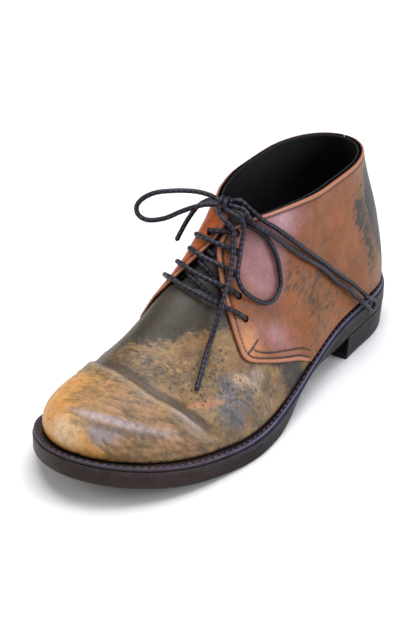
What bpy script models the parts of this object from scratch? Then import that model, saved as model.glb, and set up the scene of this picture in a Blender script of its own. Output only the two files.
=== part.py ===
"""Left derby shoe of chukka height, built as a shoemaker assembles it.

Units are metres once a mesh is made; the tables below are in millimetres. +Z is up, the
toe points to -Y and the outer (lateral) side of the foot faces +X.

Every leather piece is read from one surface, the last. A point on it is named by
    h  the height up the upper: 0 on the feather line, where upper and welt meet, 1 on the collar
    v  the way round it: 0 on the front ridge, +1 round the lateral side to the back of the
       heel, -1 round the medial side to the same place
"""

import math

import bmesh
import bpy
import numpy as np
from mathutils import Matrix, Vector

MM = 0.001
GAP = 0.3                    # clearance between pieces that touch

# ---- driving dimensions -------------------------------------------------------------------
FEATHER_LENGTH = 278.0       # heel to toe of the last, along the feather line
HEEL_HEIGHT = 16.5
SOLE_THICKNESS = 10.5
WELT_THICKNESS = 2.4
TOE_SPRING = 18.0
BREAST = 0.26                # heel breast, as a fraction of the feather length
TREAD = (0.62, 0.70)         # flat spot of the forefoot, as fractions of the feather length
UPPER_WALL = 2.2
QUARTER_WALL = 1.6
BACKSTAY_WALL = 1.9
TONGUE_WALL = 2.0
INSOLE_THICKNESS = 3.6
WELT_INNER = -2.4            # inner edge of the welt, inside the feather line
UPPER_LIFT = 0.6             # foot of the upper above the welt
COLLAR_HALF_WIDTH = 27.5
COLLAR_CENTRE = -3.0
COLLAR_ARCH = 2.0
RIDGE_SHIFT = -8.0           # the instep ridge lies to the medial side
MEDIAL_SLIM = 0.20           # the instep is flatter on the medial side, by this share
LACE_DIAMETER = 3.0
EYELET_DIAMETER = 4.2
KNOT = Vector((-5.0, -2.0, 119.5))
KNOT_HALF = Vector((6.0, 4.6, 3.8))
KNOT_CLEARANCE = 1.0         # from the knot to a lace's centre where it comes out
OUTSOLE_BEVEL = 1.0
PUNCH_DEPTH = 12.0           # of the tool that punches the eyelets

# ---- plan of the feather line: fraction of length from the heel, centre line, half width --
PLAN = np.array([
    (0.00, 1.2, 33.2),
    (0.13, 1.9, 32.9),
    (0.28, 4.0, 33.0),
    (0.42, 5.6, 35.1),
    (0.55, 5.3, 39.6),
    (0.68, 0.3, 47.1),
    (0.80, -6.0, 46.8),
    (0.92, -10.5, 45.5),
    (1.00, -10.0, 41.5),
], dtype=[("at", float), ("centre", float), ("half_width", float)])

# ---- rings of the last: height name, back and front point in side view (distance from the
#      heel, height above the ground), width factor, rounding length of the front and the back
RINGS = np.array([
    (0.00, 0.0, 30.0, 278.0, 28.7, 1.000, 75.0, 42.0),
    (0.06, -1.0, 35.5, 280.0, 37.0, 0.985, 75.0, 42.0),
    (0.13, -1.6, 42.0, 275.0, 44.0, 0.970, 76.0, 42.0),
    (0.22, -1.8, 50.0, 262.0, 49.5, 0.945, 78.0, 42.0),
    (0.34, -1.2, 60.0, 238.0, 54.0, 0.930, 80.0, 43.0),
    (0.48, 0.8, 72.0, 212.5, 64.0, 0.930, 80.0, 44.0),
    (0.62, 4.0, 84.5, 190.5, 77.5, 0.930, 74.0, 46.0),
    (0.76, 7.5, 96.0, 170.5, 89.5, 0.940, 66.0, 48.0),
    (0.88, 10.5, 106.0, 156.0, 100.5, 0.955, 56.0, 47.0),
    (1.00, 13.5, 116.0, 145.0, 111.0, 1.000, 53.0, 46.0),
    (1.10, 16.0, 125.0, 137.0, 119.0, 1.000, 52.0, 45.0),
], dtype=[("h", float), ("back", float), ("back_z", float), ("front", float), ("front_z", float),
          ("width", float), ("nose", float), ("tail", float)])

# ---- front edges of the quarters: a corner low on the side, then up along the facing; the
#      medial facing reaches over the ridge, where the two almost meet ------------------------
QUARTER_EDGE = np.array([
    (0.000, 0.545, 0.545), (0.100, 0.508, 0.508), (0.200, 0.452, 0.452),
    (0.280, 0.398, 0.398), (0.355, 0.340, 0.332), (0.440, 0.300, 0.262),
    (0.545, 0.251, 0.198), (0.630, 0.208, 0.125), (0.695, 0.172, 0.092),
    (0.765, 0.133, 0.058), (0.835, 0.084, 0.015), (0.870, 0.064, -0.008),
    (0.900, 0.053, -0.022), (0.945, 0.052, -0.024), (1.000, 0.054, -0.022),
], dtype=[("h", float), ("lateral", float), ("medial", float)])

# ---- how far the sole stands out beyond the feather line -----------------------------------
SOLE_EDGE = np.array([
    (0.00, 4.2), (0.20, 3.6), (0.45, 3.6), (0.70, 4.8), (0.85, 6.0), (1.00, 6.2),
], dtype=[("at", float), ("grow", float)])

# ---- rows of eyelets, lowest first; bridge is how high the lace rides over the tongue ------
EYELETS = np.array([
    (0.530, 0.292, 0.645, 0.205, 2.8),
    (0.630, 0.250, 0.735, 0.155, 2.6),
    (0.735, 0.205, 0.815, 0.115, 3.4),
    (0.840, 0.165, 0.870, 0.135, 4.0),
    (0.935, 0.125, 0.925, 0.040, 4.0),
], dtype=[("lateral_h", float), ("lateral_v", float), ("medial_h", float), ("medial_v", float),
          ("bridge", float)])

# ---- grid lines shared by the upper and what lies on it ------------------------------------
ROWS = (0.0, 0.03, 0.07, 0.13, 0.20, 0.28, 0.355, 0.43, 0.50, 0.565, 0.64, 0.72, 0.80, 0.87,
        0.935, 1.0)
THROAT = 0.64                # the vamp ends here and the tongue shows above
BACKSTAY_TOP = 0.87
TONGUE_ROWS = (0.56, 0.62, 0.68, 0.74, 0.80, 0.86, 0.92, 0.98, 1.04, 1.09)
TONGUE_COLUMNS = 10
TONGUE_HALF_WIDTH = 0.12     # at its top, as a share of half the way round
RIDGE = 0.03                 # how far the throat's middle lies to the lateral side
BACKSTAY_EDGE = 0.86         # where the quarters end and the backstay begins
FRONT_COLUMNS = 10
SIDE_COLUMNS = 11
BACK_COLUMNS = 3
SOLE_POINTS = 84             # points round the sole
HEEL_POINTS = 28
LACE_STEP = 6.5              # spacing of the points of a lace
BAR_POINTS = 8
PULLS = 60                   # rounds of pulling a bar tight
THROAT_EASE = 0.012          # how far before a facing's edge a bar starts to sink
BAR_SHIFT = 0.007            # a diagonal meets its bar a little to one side of the middle
BAR_LIFT = 0.2               # and rides a little higher
SEAM = 0.0012                # half a gap between neighbours, as a share of the way round

# name: base colour, roughness, metallic
FINISHES = {
    "rubber_dark": ((0.040, 0.028, 0.030), 0.55, 0.0),
    "welt_dark": ((0.018, 0.017, 0.026), 0.60, 0.0),
    "heel_dark": ((0.022, 0.017, 0.020), 0.50, 0.0),
    "insole_black": ((0.012, 0.011, 0.011), 0.85, 0.0),
    "leather_ochre": ((0.300, 0.190, 0.075), 0.42, 0.0),
    "leather_orange": ((0.420, 0.130, 0.045), 0.45, 0.0),
    "leather_navy": ((0.030, 0.036, 0.050), 0.45, 0.0),
    "leather_olive": ((0.070, 0.062, 0.042), 0.55, 0.0),
    "lace_indigo": ((0.030, 0.028, 0.050), 0.60, 0.0),
}


# ============================================================================ the last
def curve_through(table, column, key):
    """Smooth curve through one named column of a short table, as a function of the key."""
    x, y = table[key], table[column]
    slope = np.gradient(y, x)

    def value(at):
        at = np.clip(at, x[0], x[-1])
        i = np.clip(np.searchsorted(x, at, side="right") - 1, 0, len(x) - 2)
        span = x[i + 1] - x[i]
        t = (at - x[i]) / span
        return (y[i] * (2 * t**3 - 3 * t**2 + 1) + slope[i] * span * (t**3 - 2 * t**2 + t)
                + y[i + 1] * (3 * t**2 - 2 * t**3) + slope[i + 1] * span * (t**3 - t**2))

    return value


plan_centre = curve_through(PLAN, "centre", "at")
plan_half_width = curve_through(PLAN, "half_width", "at")
sole_grow = curve_through(SOLE_EDGE, "grow", "at")
ring = {name: curve_through(RINGS, name, "h") for name in RINGS.dtype.names[1:]}


def quarter_edge(h, side=1):
    """How far round its side a quarter begins at height h; straight between its points."""
    return np.interp(h, QUARTER_EDGE["h"], QUARTER_EDGE["lateral" if side > 0 else "medial"])


def smooth_step(x):
    """0 before 0, 1 after 1, and a soft S between them."""
    x = np.clip(x, 0.0, 1.0)
    return x * x * (3 - 2 * x)


def tread_height(station):
    """Height of the underside of the sole: heel seat, arch, flat tread, toe spring."""
    at = np.asarray(station) / FEATHER_LENGTH
    arch = HEEL_HEIGHT * (1 - smooth_step((at - BREAST) / (TREAD[0] - BREAST)))
    spring = TOE_SPRING * np.clip((at - TREAD[1]) / (1.03 - TREAD[1]), 0, None) ** 1.8
    return arch + spring


def feather_height(station):
    """Height of the feather line, where the upper stands on the welt."""
    return tread_height(station) + SOLE_THICKNESS + WELT_THICKNESS + UPPER_LIFT


def rounding(q, power):
    """0 at the tip, 1 where the end's rounding is over, without a corner there."""
    blur = 0.16 * smooth_step(q / 0.6)
    spread = [np.clip(q + blur * tap, 0, 1) for tap in np.linspace(-1, 1, 7)]
    return np.mean([np.sqrt(np.maximum(0.0, 1 - (1 - at) ** power)) for at in spread], axis=0)


def on_last(h, v):
    """Point of the last, in millimetres, for height h and way round v (arrays allowed)."""
    h, v = np.broadcast_arrays(np.asarray(h, float), np.asarray(v, float))
    v = (v + 1) % 2 - 1
    side, t = np.sign(v), np.abs(v)
    back, front = ring["back"](h), ring["front"](h)
    toward_front = (1 + np.cos(math.pi * t)) / 2
    station = back + (front - back) * toward_front
    nose = rounding((front - station) / ring["nose"](h), 2.6 - 1.6 * np.clip(h, 0, 1))
    tail = rounding((station - back) / ring["tail"](h), 2.1)

    at = np.clip(station / FEATHER_LENGTH, 0, 1)
    rise = np.clip(h, 0, None) ** 1.3
    half = (plan_half_width(at) * (1 - rise) + COLLAR_HALF_WIDTH * rise) * ring["width"](h)
    centre = plan_centre(at) * (1 - rise) + COLLAR_CENTRE * rise
    centre = centre + RIDGE_SHIFT * np.sin(math.pi * np.clip(h, 0, 1)) * toward_front**2
    slim = (side < 0) * MEDIAL_SLIM * np.sin(math.pi * np.clip(h, 0, 1)) * toward_front**2
    x = centre + side * half * nose * tail * (1 - slim)

    foot = feather_height(toward_front * FEATHER_LENGTH)
    ends = feather_height(0.0), feather_height(FEATHER_LENGTH)
    sag = foot - (ends[0] + (ends[1] - ends[0]) * toward_front)
    z = ring["back_z"](h) + (ring["front_z"](h) - ring["back_z"](h)) * toward_front
    z = z + sag * np.clip(1 - h, 0, 1) ** 1.5
    z = z + COLLAR_ARCH * np.clip(h, 0, 1) ** 2 * 4 * toward_front * (1 - toward_front)
    return np.stack([x, FEATHER_LENGTH / 2 - station, z], axis=-1)


def off_last(h, v, offset):
    """Point at a distance outside (+) or inside (-) the last."""
    step = 1e-3
    up = on_last(h + step, v) - on_last(h - step, v)
    round_ = on_last(h, v + step) - on_last(h, v - step)
    normal = np.cross(round_, up)
    normal /= np.linalg.norm(normal, axis=-1, keepdims=True)
    return on_last(h, v) + normal * offset


def plan_outline(v, edge, grow=0.0):
    """Feather line grown outwards in plan: edge 0 follows the feather, 1 the sole's edge."""
    step = 1e-3
    point = on_last(0.0, v)
    along = on_last(0.0, v + step) - on_last(0.0, v - step)
    normal = np.stack([along[..., 1], -along[..., 0]], axis=-1)
    normal /= np.linalg.norm(normal, axis=-1, keepdims=True)
    station = FEATHER_LENGTH / 2 - point[..., 1]
    distance = grow + edge * sole_grow(station / FEATHER_LENGTH)
    return point[..., :2] + normal * distance[..., None]


# ============================================================================ building
def collection(name):
    """The named collection, made once and linked to the scene."""
    found = bpy.data.collections.get(name)
    if found is None:
        found = bpy.data.collections.new(name)
        bpy.context.scene.collection.children.link(found)
    return found


def finish(name):
    """Material with one of the named finishes."""
    material = bpy.data.materials.get(name)
    if material is None:
        colour, roughness, metallic = FINISHES[name]
        material = bpy.data.materials.new(name)
        material.use_nodes = True
        shader = material.node_tree.nodes["Principled BSDF"]
        shader.inputs["Base Color"].default_value = (*colour, 1.0)
        shader.inputs["Roughness"].default_value = roughness
        shader.inputs["Metallic"].default_value = metallic
        material.diffuse_color = (*colour, 1.0)
    return material


def add_piece(name, data, finish_name):
    """Object of the shoe with its finish."""
    piece = bpy.data.objects.new(name, data)
    collection("derby_shoe").objects.link(piece)
    data.materials.append(finish(finish_name))
    return piece


def add_cutter(name, data):
    """Helper object that cuts or joins and isn't part of the shoe."""
    cutter = bpy.data.objects.new(name, data)
    cutter.hide_render = True
    cutter.display_type = "WIRE"
    collection("cutters").objects.link(cutter)
    return cutter


def combine(piece, other, operation):
    """Exact boolean that stays on the piece as a modifier."""
    step = piece.modifiers.new(f"{operation.lower()}_{other.name}", "BOOLEAN")
    step.object = other
    step.operation = operation
    step.solver = "EXACT"


def grid_mesh(name, points, keep=None, close_ends=False):
    """Mesh of a grid whose vertex (row, column) goes to points[row][column], in millimetres.

    keep(row, column) says which cells stay. Coinciding vertices are merged, so a grid whose
    first and last columns agree closes on itself. close_ends fills the open rims.
    """
    points = np.asarray(points)
    rows, columns = points.shape[:2]
    shape = bmesh.new()
    bmesh.ops.create_grid(shape, x_segments=columns - 1, y_segments=rows - 1, size=1.0)

    def place(where):
        return (where.y + 1) / 2 * (rows - 1), (where.x + 1) / 2 * (columns - 1)

    if keep:
        cells = {face: place(face.calc_center_median()) for face in shape.faces}
        dropped = [face for face, at in cells.items() if not keep(int(at[0]), int(at[1]))]
        bmesh.ops.delete(shape, geom=dropped, context="FACES")
    for vert in shape.verts:
        row, column = place(vert.co)
        vert.co = Vector(points[round(row), round(column)]) * MM
    bmesh.ops.remove_doubles(shape, verts=shape.verts, dist=1e-6)
    if close_ends:
        rim = [edge for edge in shape.edges if edge.is_boundary]
        bmesh.ops.holes_fill(shape, edges=rim)
    mesh = bpy.data.meshes.new(name)
    shape.to_mesh(mesh)
    shape.free()
    return mesh


# ============================================================================ leather
def spread(*stops):
    """Values from stop to stop; each later stop is (value, number of steps to it)."""
    values = [stops[0]]
    for value, steps in stops[1:]:
        values += list(np.linspace(values[-1], value, steps + 1)[1:])
    return np.array(values)


def leather(name, rows, columns, offset, thickness, finish_name, keep=None):
    """Piece laid on the last at an offset, its wall growing out (+) or in (-) from there.

    columns(h) gives the v values at height h; keep(h, v) says whether the cell round that
    point belongs to the piece.
    """
    points = [[off_last(h, v, offset) for v in columns(h)] for h in rows]

    def keep_cell(row, column):
        h = (rows[row] + rows[row + 1]) / 2
        v = columns(h)[column:column + 2].mean()
        return keep(h, v)

    mesh = grid_mesh(name, points, keep_cell if keep else None)
    piece = add_piece(name, mesh, finish_name)
    wall = piece.modifiers.new("wall", "SOLIDIFY")
    wall.thickness = abs(thickness) * MM
    wall.offset = math.copysign(1.0, thickness)
    facets = piece.modifiers.new("facets", "TRIANGULATE")
    facets.quad_method = "FIXED"
    return piece


def upper_columns(h):
    """Columns of the upper, from the heel round the medial side, the front and the lateral."""
    return spread(-1.0, (-BACKSTAY_EDGE, BACK_COLUMNS), (-quarter_edge(h, -1), SIDE_COLUMNS),
                  (quarter_edge(h), 2 * FRONT_COLUMNS), (BACKSTAY_EDGE, SIDE_COLUMNS),
                  (1.0, BACK_COLUMNS))


def make_upper():
    """Vamp and lining in one hollow wall, open at the collar, the throat and underneath."""
    return leather("upper", ROWS, upper_columns, 0.0, -UPPER_WALL, "leather_ochre",
                   keep=lambda h, v: h < THROAT or not -quarter_edge(h, -1) < v < quarter_edge(h))


def quarter_columns(h, side):
    """How far round its side each column of a quarter is, from its front edge to the heel."""
    return spread(quarter_edge(h, side), (BACKSTAY_EDGE - SEAM, SIDE_COLUMNS),
                  (1 - SEAM, BACK_COLUMNS))


def make_quarter(name, side):
    """Quarter with its facing: it lies on the upper and carries one row of eyelets."""
    rows = (0.01,) + ROWS[1:]
    return leather(name, rows, lambda h: side * quarter_columns(h, side)[::side], GAP,
                   QUARTER_WALL, "leather_orange",
                   keep=lambda h, v: h > BACKSTAY_TOP or abs(v) < BACKSTAY_EDGE)


def make_backstay():
    """Strip up the back of the heel, let in between the quarters."""
    rows = (0.01,) + tuple(h for h in ROWS[1:] if h < BACKSTAY_TOP) + (BACKSTAY_TOP - 3 * SEAM,)
    half = spread(BACKSTAY_EDGE + SEAM, (1.0, BACK_COLUMNS))
    columns = np.concatenate([half, 2 - half[-2::-1]])
    return leather("backstay", rows, lambda h: columns, GAP, BACKSTAY_WALL, "leather_navy")


def make_tongue():
    """Tongue under the facings, from below the throat to just above the collar."""
    def columns(h):
        medial = max(quarter_edge(min(h, 1.0), -1) + 0.03, TONGUE_HALF_WIDTH - RIDGE)
        lateral = max(quarter_edge(min(h, 1.0)) + 0.03, TONGUE_HALF_WIDTH + RIDGE)
        return spread(-medial, (lateral, TONGUE_COLUMNS))

    return leather("tongue", TONGUE_ROWS, columns, -UPPER_WALL - 5 * GAP, -TONGUE_WALL,
                   "leather_olive")


def eyelet(row, side):
    """Height and way round of one eyelet."""
    name = "lateral" if side > 0 else "medial"
    return float(row[f"{name}_h"]), side * float(row[f"{name}_v"])


def punch_eyelets(pieces, side):
    """Round holes through the facing and the wall under it."""
    holes = bmesh.new()
    for row in EYELETS:
        h, v = eyelet(row, side)
        inner, outer = Vector(off_last(h, v, -2.0)), Vector(off_last(h, v, 2.0))
        turn = (outer - inner).to_track_quat("Z", "Y").to_matrix().to_4x4()
        bmesh.ops.create_cone(holes, cap_ends=True, segments=12, radius1=EYELET_DIAMETER / 2 * MM,
                              radius2=EYELET_DIAMETER / 2 * MM, depth=PUNCH_DEPTH * MM,
                              matrix=Matrix.Translation((inner + outer) / 2 * MM) @ turn)
    mesh = bpy.data.meshes.new(f"eyelet_punch_{side:+d}")
    holes.to_mesh(mesh)
    holes.free()
    punch = add_cutter(mesh.name, mesh)
    for piece in pieces:
        combine(piece, punch, "DIFFERENCE")


# ============================================================================ bottom
def around(count, start=-1.0, stop=1.0):
    """Evenly spaced ways round."""
    return np.linspace(start, stop, count + 1)


def plan_row(v, edge, grow, rise):
    """Row of points round the sole, at a height above the tread."""
    flat = plan_outline(v, edge, grow)
    z = tread_height(FEATHER_LENGTH / 2 - flat[:, 1]) + rise
    return np.column_stack([flat, z])


def spine_row(v, edge, grow, rise):
    """Middle of the row above, where both sides meet and close the top or the bottom."""
    middle = (plan_outline(v, edge, grow) + plan_outline(-v, edge, grow)) / 2
    z = tread_height(FEATHER_LENGTH / 2 - middle[:, 1]) + rise
    return np.column_stack([middle, z])


def make_plate(name, edge, profile, finish_name):
    """Layer of the bottom; profile lists (grow, rise) from its lower to its upper edge."""
    v = around(SOLE_POINTS)
    rows = [spine_row(v, edge, *profile[0])]
    rows += [plan_row(v, edge, grow, rise) for grow, rise in profile]
    rows.append(spine_row(v, edge, *profile[-1]))
    return add_piece(name, grid_mesh(name, rows), finish_name)


def make_outsole():
    """Outsole from heel to toe, its edges eased."""
    profile = [(-OUTSOLE_BEVEL, 0.0), (0.0, OUTSOLE_BEVEL), (0.0, SOLE_THICKNESS - OUTSOLE_BEVEL),
               (-OUTSOLE_BEVEL / 2, SOLE_THICKNESS)]
    return make_plate("outsole", 1, profile, "rubber_dark")


def make_insole():
    """Insole inside the welt, its upper edge rounded."""
    low, edge = SOLE_THICKNESS + GAP, WELT_INNER - GAP
    profile = [(edge, low), (edge, low + INSOLE_THICKNESS * 0.4), (edge - 1.1, low + INSOLE_THICKNESS)]
    return make_plate("insole", 0, profile, "insole_black")


def make_welt():
    """Band on the sole's edge, under the foot of the upper, all the way round."""
    v = around(SOLE_POINTS)
    low, high = SOLE_THICKNESS + GAP, SOLE_THICKNESS + WELT_THICKNESS
    ring_of = [(0, WELT_INNER, low), (1, -0.9, low), (1, -0.7, high - 0.6), (1, -1.3, high),
               (0, WELT_INNER, high), (0, WELT_INNER, low)]
    rows = [plan_row(v, edge, grow, rise) for edge, grow, rise in ring_of]
    return add_piece("welt", grid_mesh("welt", rows), "welt_dark")


def make_heel():
    """Heel block under the heel seat, its breast straight across, a little narrower below."""
    start = math.acos(2 * BREAST - 1) / math.pi
    v = around(HEEL_POINTS, start, 2 - start)
    profile = [(-1.7, 0.0), (-1.0, 1.0), (-0.5, HEEL_HEIGHT - GAP)]
    mirror_v = 2 - v

    def flat_row(grow, z, middle=False):
        flat = plan_outline(v, 1, grow)
        if middle:
            flat = (flat + plan_outline(mirror_v, 1, grow)) / 2
        return np.column_stack([flat, np.full(len(v), z)])

    rows = [flat_row(*profile[0], middle=True)]
    rows += [flat_row(grow, z) for grow, z in profile]
    rows.append(flat_row(*profile[-1], middle=True))
    return add_piece("heel", grid_mesh("heel", rows, close_ends=True), "heel_dark")


# ============================================================================ lace
def smooth_route(points, step):
    """Points at about the given spacing along a smooth curve through the route's points."""
    points = np.array([np.asarray(p, float) for p in points])
    ends = [2 * points[0] - points[1], *points, 2 * points[-1] - points[-2]]
    dense = []
    for a, b, c, d in zip(ends, ends[1:], ends[2:], ends[3:]):
        for t in np.linspace(0, 1, 12, endpoint=False):
            dense.append(0.5 * (2 * b + (c - a) * t + (2 * a - 5 * b + 4 * c - d) * t**2
                                + (3 * b - a - 3 * c + d) * t**3))
    dense = np.array(dense + [points[-1]])
    run = np.concatenate([[0], np.cumsum(np.linalg.norm(np.diff(dense, axis=0), axis=1))])
    count = max(2, round(run[-1] / step))
    at = np.linspace(0, run[-1], count + 1)
    return np.column_stack([np.interp(at, run, dense[:, k]) for k in range(3)])


def lace_curve(name, points, step=LACE_STEP):
    """Round lace as a curve with a bevel and filled caps."""
    route = smooth_route(points, step) * MM
    curve = bpy.data.curves.new(name, "CURVE")
    curve.dimensions = "3D"
    curve.bevel_depth = LACE_DIAMETER / 2 * MM
    curve.bevel_resolution = 2
    curve.use_fill_caps = True
    spline = curve.splines.new("POLY")
    spline.points.add(len(route) - 1)
    for point, place in zip(spline.points, route):
        point.co = (*place, 1.0)
    return curve


def lace_mesh(name, points):
    """The same lace as a closed mesh, so that it can be joined to another."""
    holder = bpy.data.objects.new(name, lace_curve(name, points))
    bpy.context.scene.collection.objects.link(holder)
    bpy.context.view_layer.update()
    evaluated = holder.evaluated_get(bpy.context.evaluated_depsgraph_get())
    mesh = bpy.data.meshes.new_from_object(evaluated)
    bpy.data.objects.remove(holder)
    shape = bmesh.new()
    shape.from_mesh(mesh)
    bmesh.ops.remove_doubles(shape, verts=shape.verts, dist=1e-6)
    shape.to_mesh(mesh)
    shape.free()
    mesh.name = name
    return mesh


def lace_place(way, low):
    """Middle of a lace at places (height, way round): on the facings, lower over the tongue."""
    on_facing = QUARTER_WALL + 4 * GAP + LACE_DIAMETER / 2
    h, v = way.T
    lateral, medial = quarter_edge(h), -quarter_edge(h, -1)
    room = np.minimum(lateral - v, v - medial) + THROAT_EASE
    inside = smooth_step(room / np.maximum((lateral - medial) / 2, 2 * THROAT_EASE))
    return off_last(h, v, (on_facing + (low - on_facing) * inside)[:, None])


def bridge(start, end, low):
    """Lace pulled tight from one eyelet to one across the throat.

    Each point is drawn towards the middle of its neighbours until the way is the shortest.
    """
    way = np.linspace(start, end, BAR_POINTS)
    step = 1e-4
    for _ in range(PULLS):
        points = lace_place(way, low)
        pull = (points[:-2] + points[2:]) / 2 - points[1:-1]
        slopes = [(lace_place(way[1:-1] + move, low) - points[1:-1]) / step
                  for move in np.eye(2) * step]
        way[1:-1] += (np.linalg.pinv(np.stack(slopes, axis=-1)) @ pull[..., None])[..., 0]
    return lace_place(way, low)


def make_lace_bars():
    """The straight bars and the diagonals between them, joined where they meet."""
    bars = []
    for row in EYELETS:
        bars.append((eyelet(row, -1), eyelet(row, 1), row["bridge"]))
    for lower, upper in zip(EYELETS, EYELETS[1:]):
        (low_h, low_v), (high_h, high_v) = eyelet(lower, 1), eyelet(upper, -1)
        bars.append(((low_h + BAR_SHIFT, low_v), (high_h - BAR_SHIFT, high_v),
                     (lower["bridge"] + upper["bridge"]) / 2 + BAR_LIFT))
    first, *others = [lace_mesh(f"lace_bar_{i}", bridge(*bar)) for i, bar in enumerate(bars, 1)]
    piece = add_piece("lace_bars", first, "lace_indigo")
    for mesh in others:
        combine(piece, add_cutter(mesh.name, mesh), "UNION")
    return piece


def make_lace_knot():
    """The bow's knot on top of the facings."""
    shape = bmesh.new()
    bmesh.ops.create_icosphere(shape, subdivisions=2, radius=1.0,
                               matrix=Matrix.Translation(KNOT * MM)
                               @ Matrix.Diagonal((*(KNOT_HALF * MM), 1.0)))
    mesh = bpy.data.meshes.new("lace_knot")
    shape.to_mesh(mesh)
    shape.free()
    return add_piece("lace_knot", mesh, "lace_indigo")


def knot(x, y, z):
    """Where a lace comes out of the knot in that direction, a little clear of it."""
    way = Vector((x, y, z))
    reach = Vector(a / b for a, b in zip(way, KNOT_HALF)).length
    return np.array(KNOT + way / reach + way.normalized() * KNOT_CLEARANCE)


# Routes of the free laces, in millimetres, from the knot outwards.
ROUTES = {
    "lace_loop_medial": [
        knot(-6, -0.5, 2.2), (-13.5, -4.7, 123.7), (-18.7, -8.3, 125.6), (-24.1, -11.9, 126.2),
        (-30.2, -16.0, 126.1), (-37.8, -21.1, 125.0), (-43.4, -24.9, 121.8),
        (-46.0, -27.8, 117.8), (-44.6, -29.6, 114.0), (-41.2, -29.0, 111.4),
        (-37.0, -26.4, 110.4), (-30.5, -22.2, 111.9), (-24.3, -17.8, 115.4),
        (-18.2, -13.2, 118.2), (-13.6, -9.2, 119.4), knot(-5, -3.5, -0.4),
    ],
    "lace_end_medial": [
        knot(-5.5, 1.5, -2.2), (-15.5, 2.5, 117.3), (-21.5, 4.4, 114.4), (-27.4, 3.8, 109.2),
        (-30.2, -1.5, 102.6), (-31.0, -7.2, 97.0), (-31.2, -11.6, 93.0),
    ],
    "lace_loop_teardrop": [
        knot(3.5, -4.5, -0.3), (3.0, -8.8, 119.2), (9.4, -7.6, 116.2), off_last(0.965, 0.135, 8.0),
        off_last(0.910, 0.153, 8.0), off_last(0.850, 0.167, 8.0), off_last(0.795, 0.183, 8.0),
        off_last(0.730, 0.201, 8.0), off_last(0.680, 0.223, 8.0), off_last(0.635, 0.254, 7.4),
        off_last(0.595, 0.298, 4.8), off_last(0.563, 0.334, 4.1), off_last(0.560, 0.361, 4.1),
        off_last(0.595, 0.371, 4.1), off_last(0.640, 0.365, 4.1), off_last(0.730, 0.339, 4.1),
        off_last(0.805, 0.306, 4.1), off_last(0.870, 0.266, 4.0), off_last(0.925, 0.215, 4.3),
        off_last(0.968, 0.158, 5.0), (5.8, -3.2, 115.0), knot(4.5, -1.5, -2.6),
    ],
    "lace_loop_long": [
        knot(5, 2, 2.4), (4.0, 1.0, 122.2), (9.4, 2.0, 118.4), off_last(0.975, 0.220, 4.8),
        off_last(0.905, 0.290, 4.4), off_last(0.830, 0.353, 4.2), off_last(0.720, 0.430, 4.2),
        off_last(0.555, 0.525, 4.2), off_last(0.360, 0.605, 4.3), off_last(0.180, 0.667, 4.8),
        off_last(0.110, 0.690, 5.2), (42.0, 82.0, 37.9), (42.4, 85.3, 34.8), (42.6, 88.2, 33.2),
        (42.8, 90.4, 31.6), (43.0, 91.3, 29.4), (43.1, 90.4, 27.2), (43.1, 88.3, 26.2),
        (43.1, 86.0, 26.9), (43.0, 84.2, 28.9), (42.8, 81.9, 31.6), (42.3, 77.0, 36.5),
        off_last(0.095, 0.674, 5.2), off_last(0.175, 0.650, 5.0), off_last(0.315, 0.603, 4.3),
        off_last(0.520, 0.528, 4.2), off_last(0.665, 0.443, 4.2), off_last(0.775, 0.365, 4.4),
        off_last(0.835, 0.315, 6.0), off_last(0.895, 0.255, 8.2), off_last(0.945, 0.198, 8.6),
        (13.6, -3.7, 114.6), (8.6, -2.2, 119.0), knot(6, -1, 0.5),
    ],
    "lace_end_front": [
        knot(0, -5, -1.2), (-3.2, -9.8, 117.2), (0.8, -12.2, 116.0), off_last(0.945, 0.101, 8.0),
        off_last(0.885, 0.125, 8.0), off_last(0.830, 0.148, 8.0), off_last(0.765, 0.168, 8.0),
        off_last(0.715, 0.183, 8.0), off_last(0.660, 0.190, 8.0), off_last(0.615, 0.196, 7.6),
        off_last(0.575, 0.201, 6.4), off_last(0.510, 0.210, 4.0), off_last(0.460, 0.216, 2.4),
        off_last(0.400, 0.225, 2.0), off_last(0.340, 0.235, 2.0), off_last(0.275, 0.248, 2.0),
    ],
}


def make_laces():
    """Loops and ends of the bow, each a piece of its own."""
    return [add_piece(name, lace_curve(name, route), "lace_indigo")
            for name, route in ROUTES.items()]


# ============================================================================ assembly
def stand_at_origin(pieces, lying):
    """Shift everything so that the shoe's box, without its free laces, stands centred."""
    bpy.context.view_layer.update()
    graph = bpy.context.evaluated_depsgraph_get()
    corners = []
    for piece in pieces:
        evaluated = piece.evaluated_get(graph)
        corners += [evaluated.matrix_world @ Vector(c) for c in evaluated.bound_box]
    corners = np.array(corners)
    low, high = corners.min(axis=0), corners.max(axis=0)
    shift = Matrix.Translation((-(low[0] + high[0]) / 2, -(low[1] + high[1]) / 2, -low[2]))
    for thing in (*pieces, *lying, *collection("cutters").objects):
        thing.data.transform(shift)


def main():
    """Model the shoe, from the bottom up, and stand it at the origin."""
    for thing in list(bpy.data.objects):
        bpy.data.objects.remove(thing)
    upper = make_upper()
    quarters = {side: make_quarter(name, side)
                for name, side in (("quarter_lateral", 1), ("quarter_medial", -1))}
    for side, quarter in quarters.items():
        punch_eyelets((quarter, upper), side)
    pieces = [make_outsole(), make_heel(), make_welt(), make_insole(), upper,
              *quarters.values(), make_backstay(), make_tongue(), make_lace_bars()]
    stand_at_origin(pieces, [make_lace_knot(), *make_laces()])


main()
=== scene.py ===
"""Looks of a left derby shoe of ankle height, in patinated leather with a tied round lace.

Lengths are millimetres until a mesh gets its places, which are metres. Every leather piece is
read from one surface, the last. A place on it is named by h, the height up the upper (0 on the
feather line, 1 on the collar), and v, the way round it (0 on the front ridge, +1 round the
lateral side to the back of the heel, -1 round the medial side to the same place).
"""

from __future__ import annotations

import logging
import math
from dataclasses import dataclass
from enum import Enum
from typing import Callable, Sequence

import bmesh
import bpy
import numpy as np
from mathutils import Matrix, Vector, noise

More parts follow.
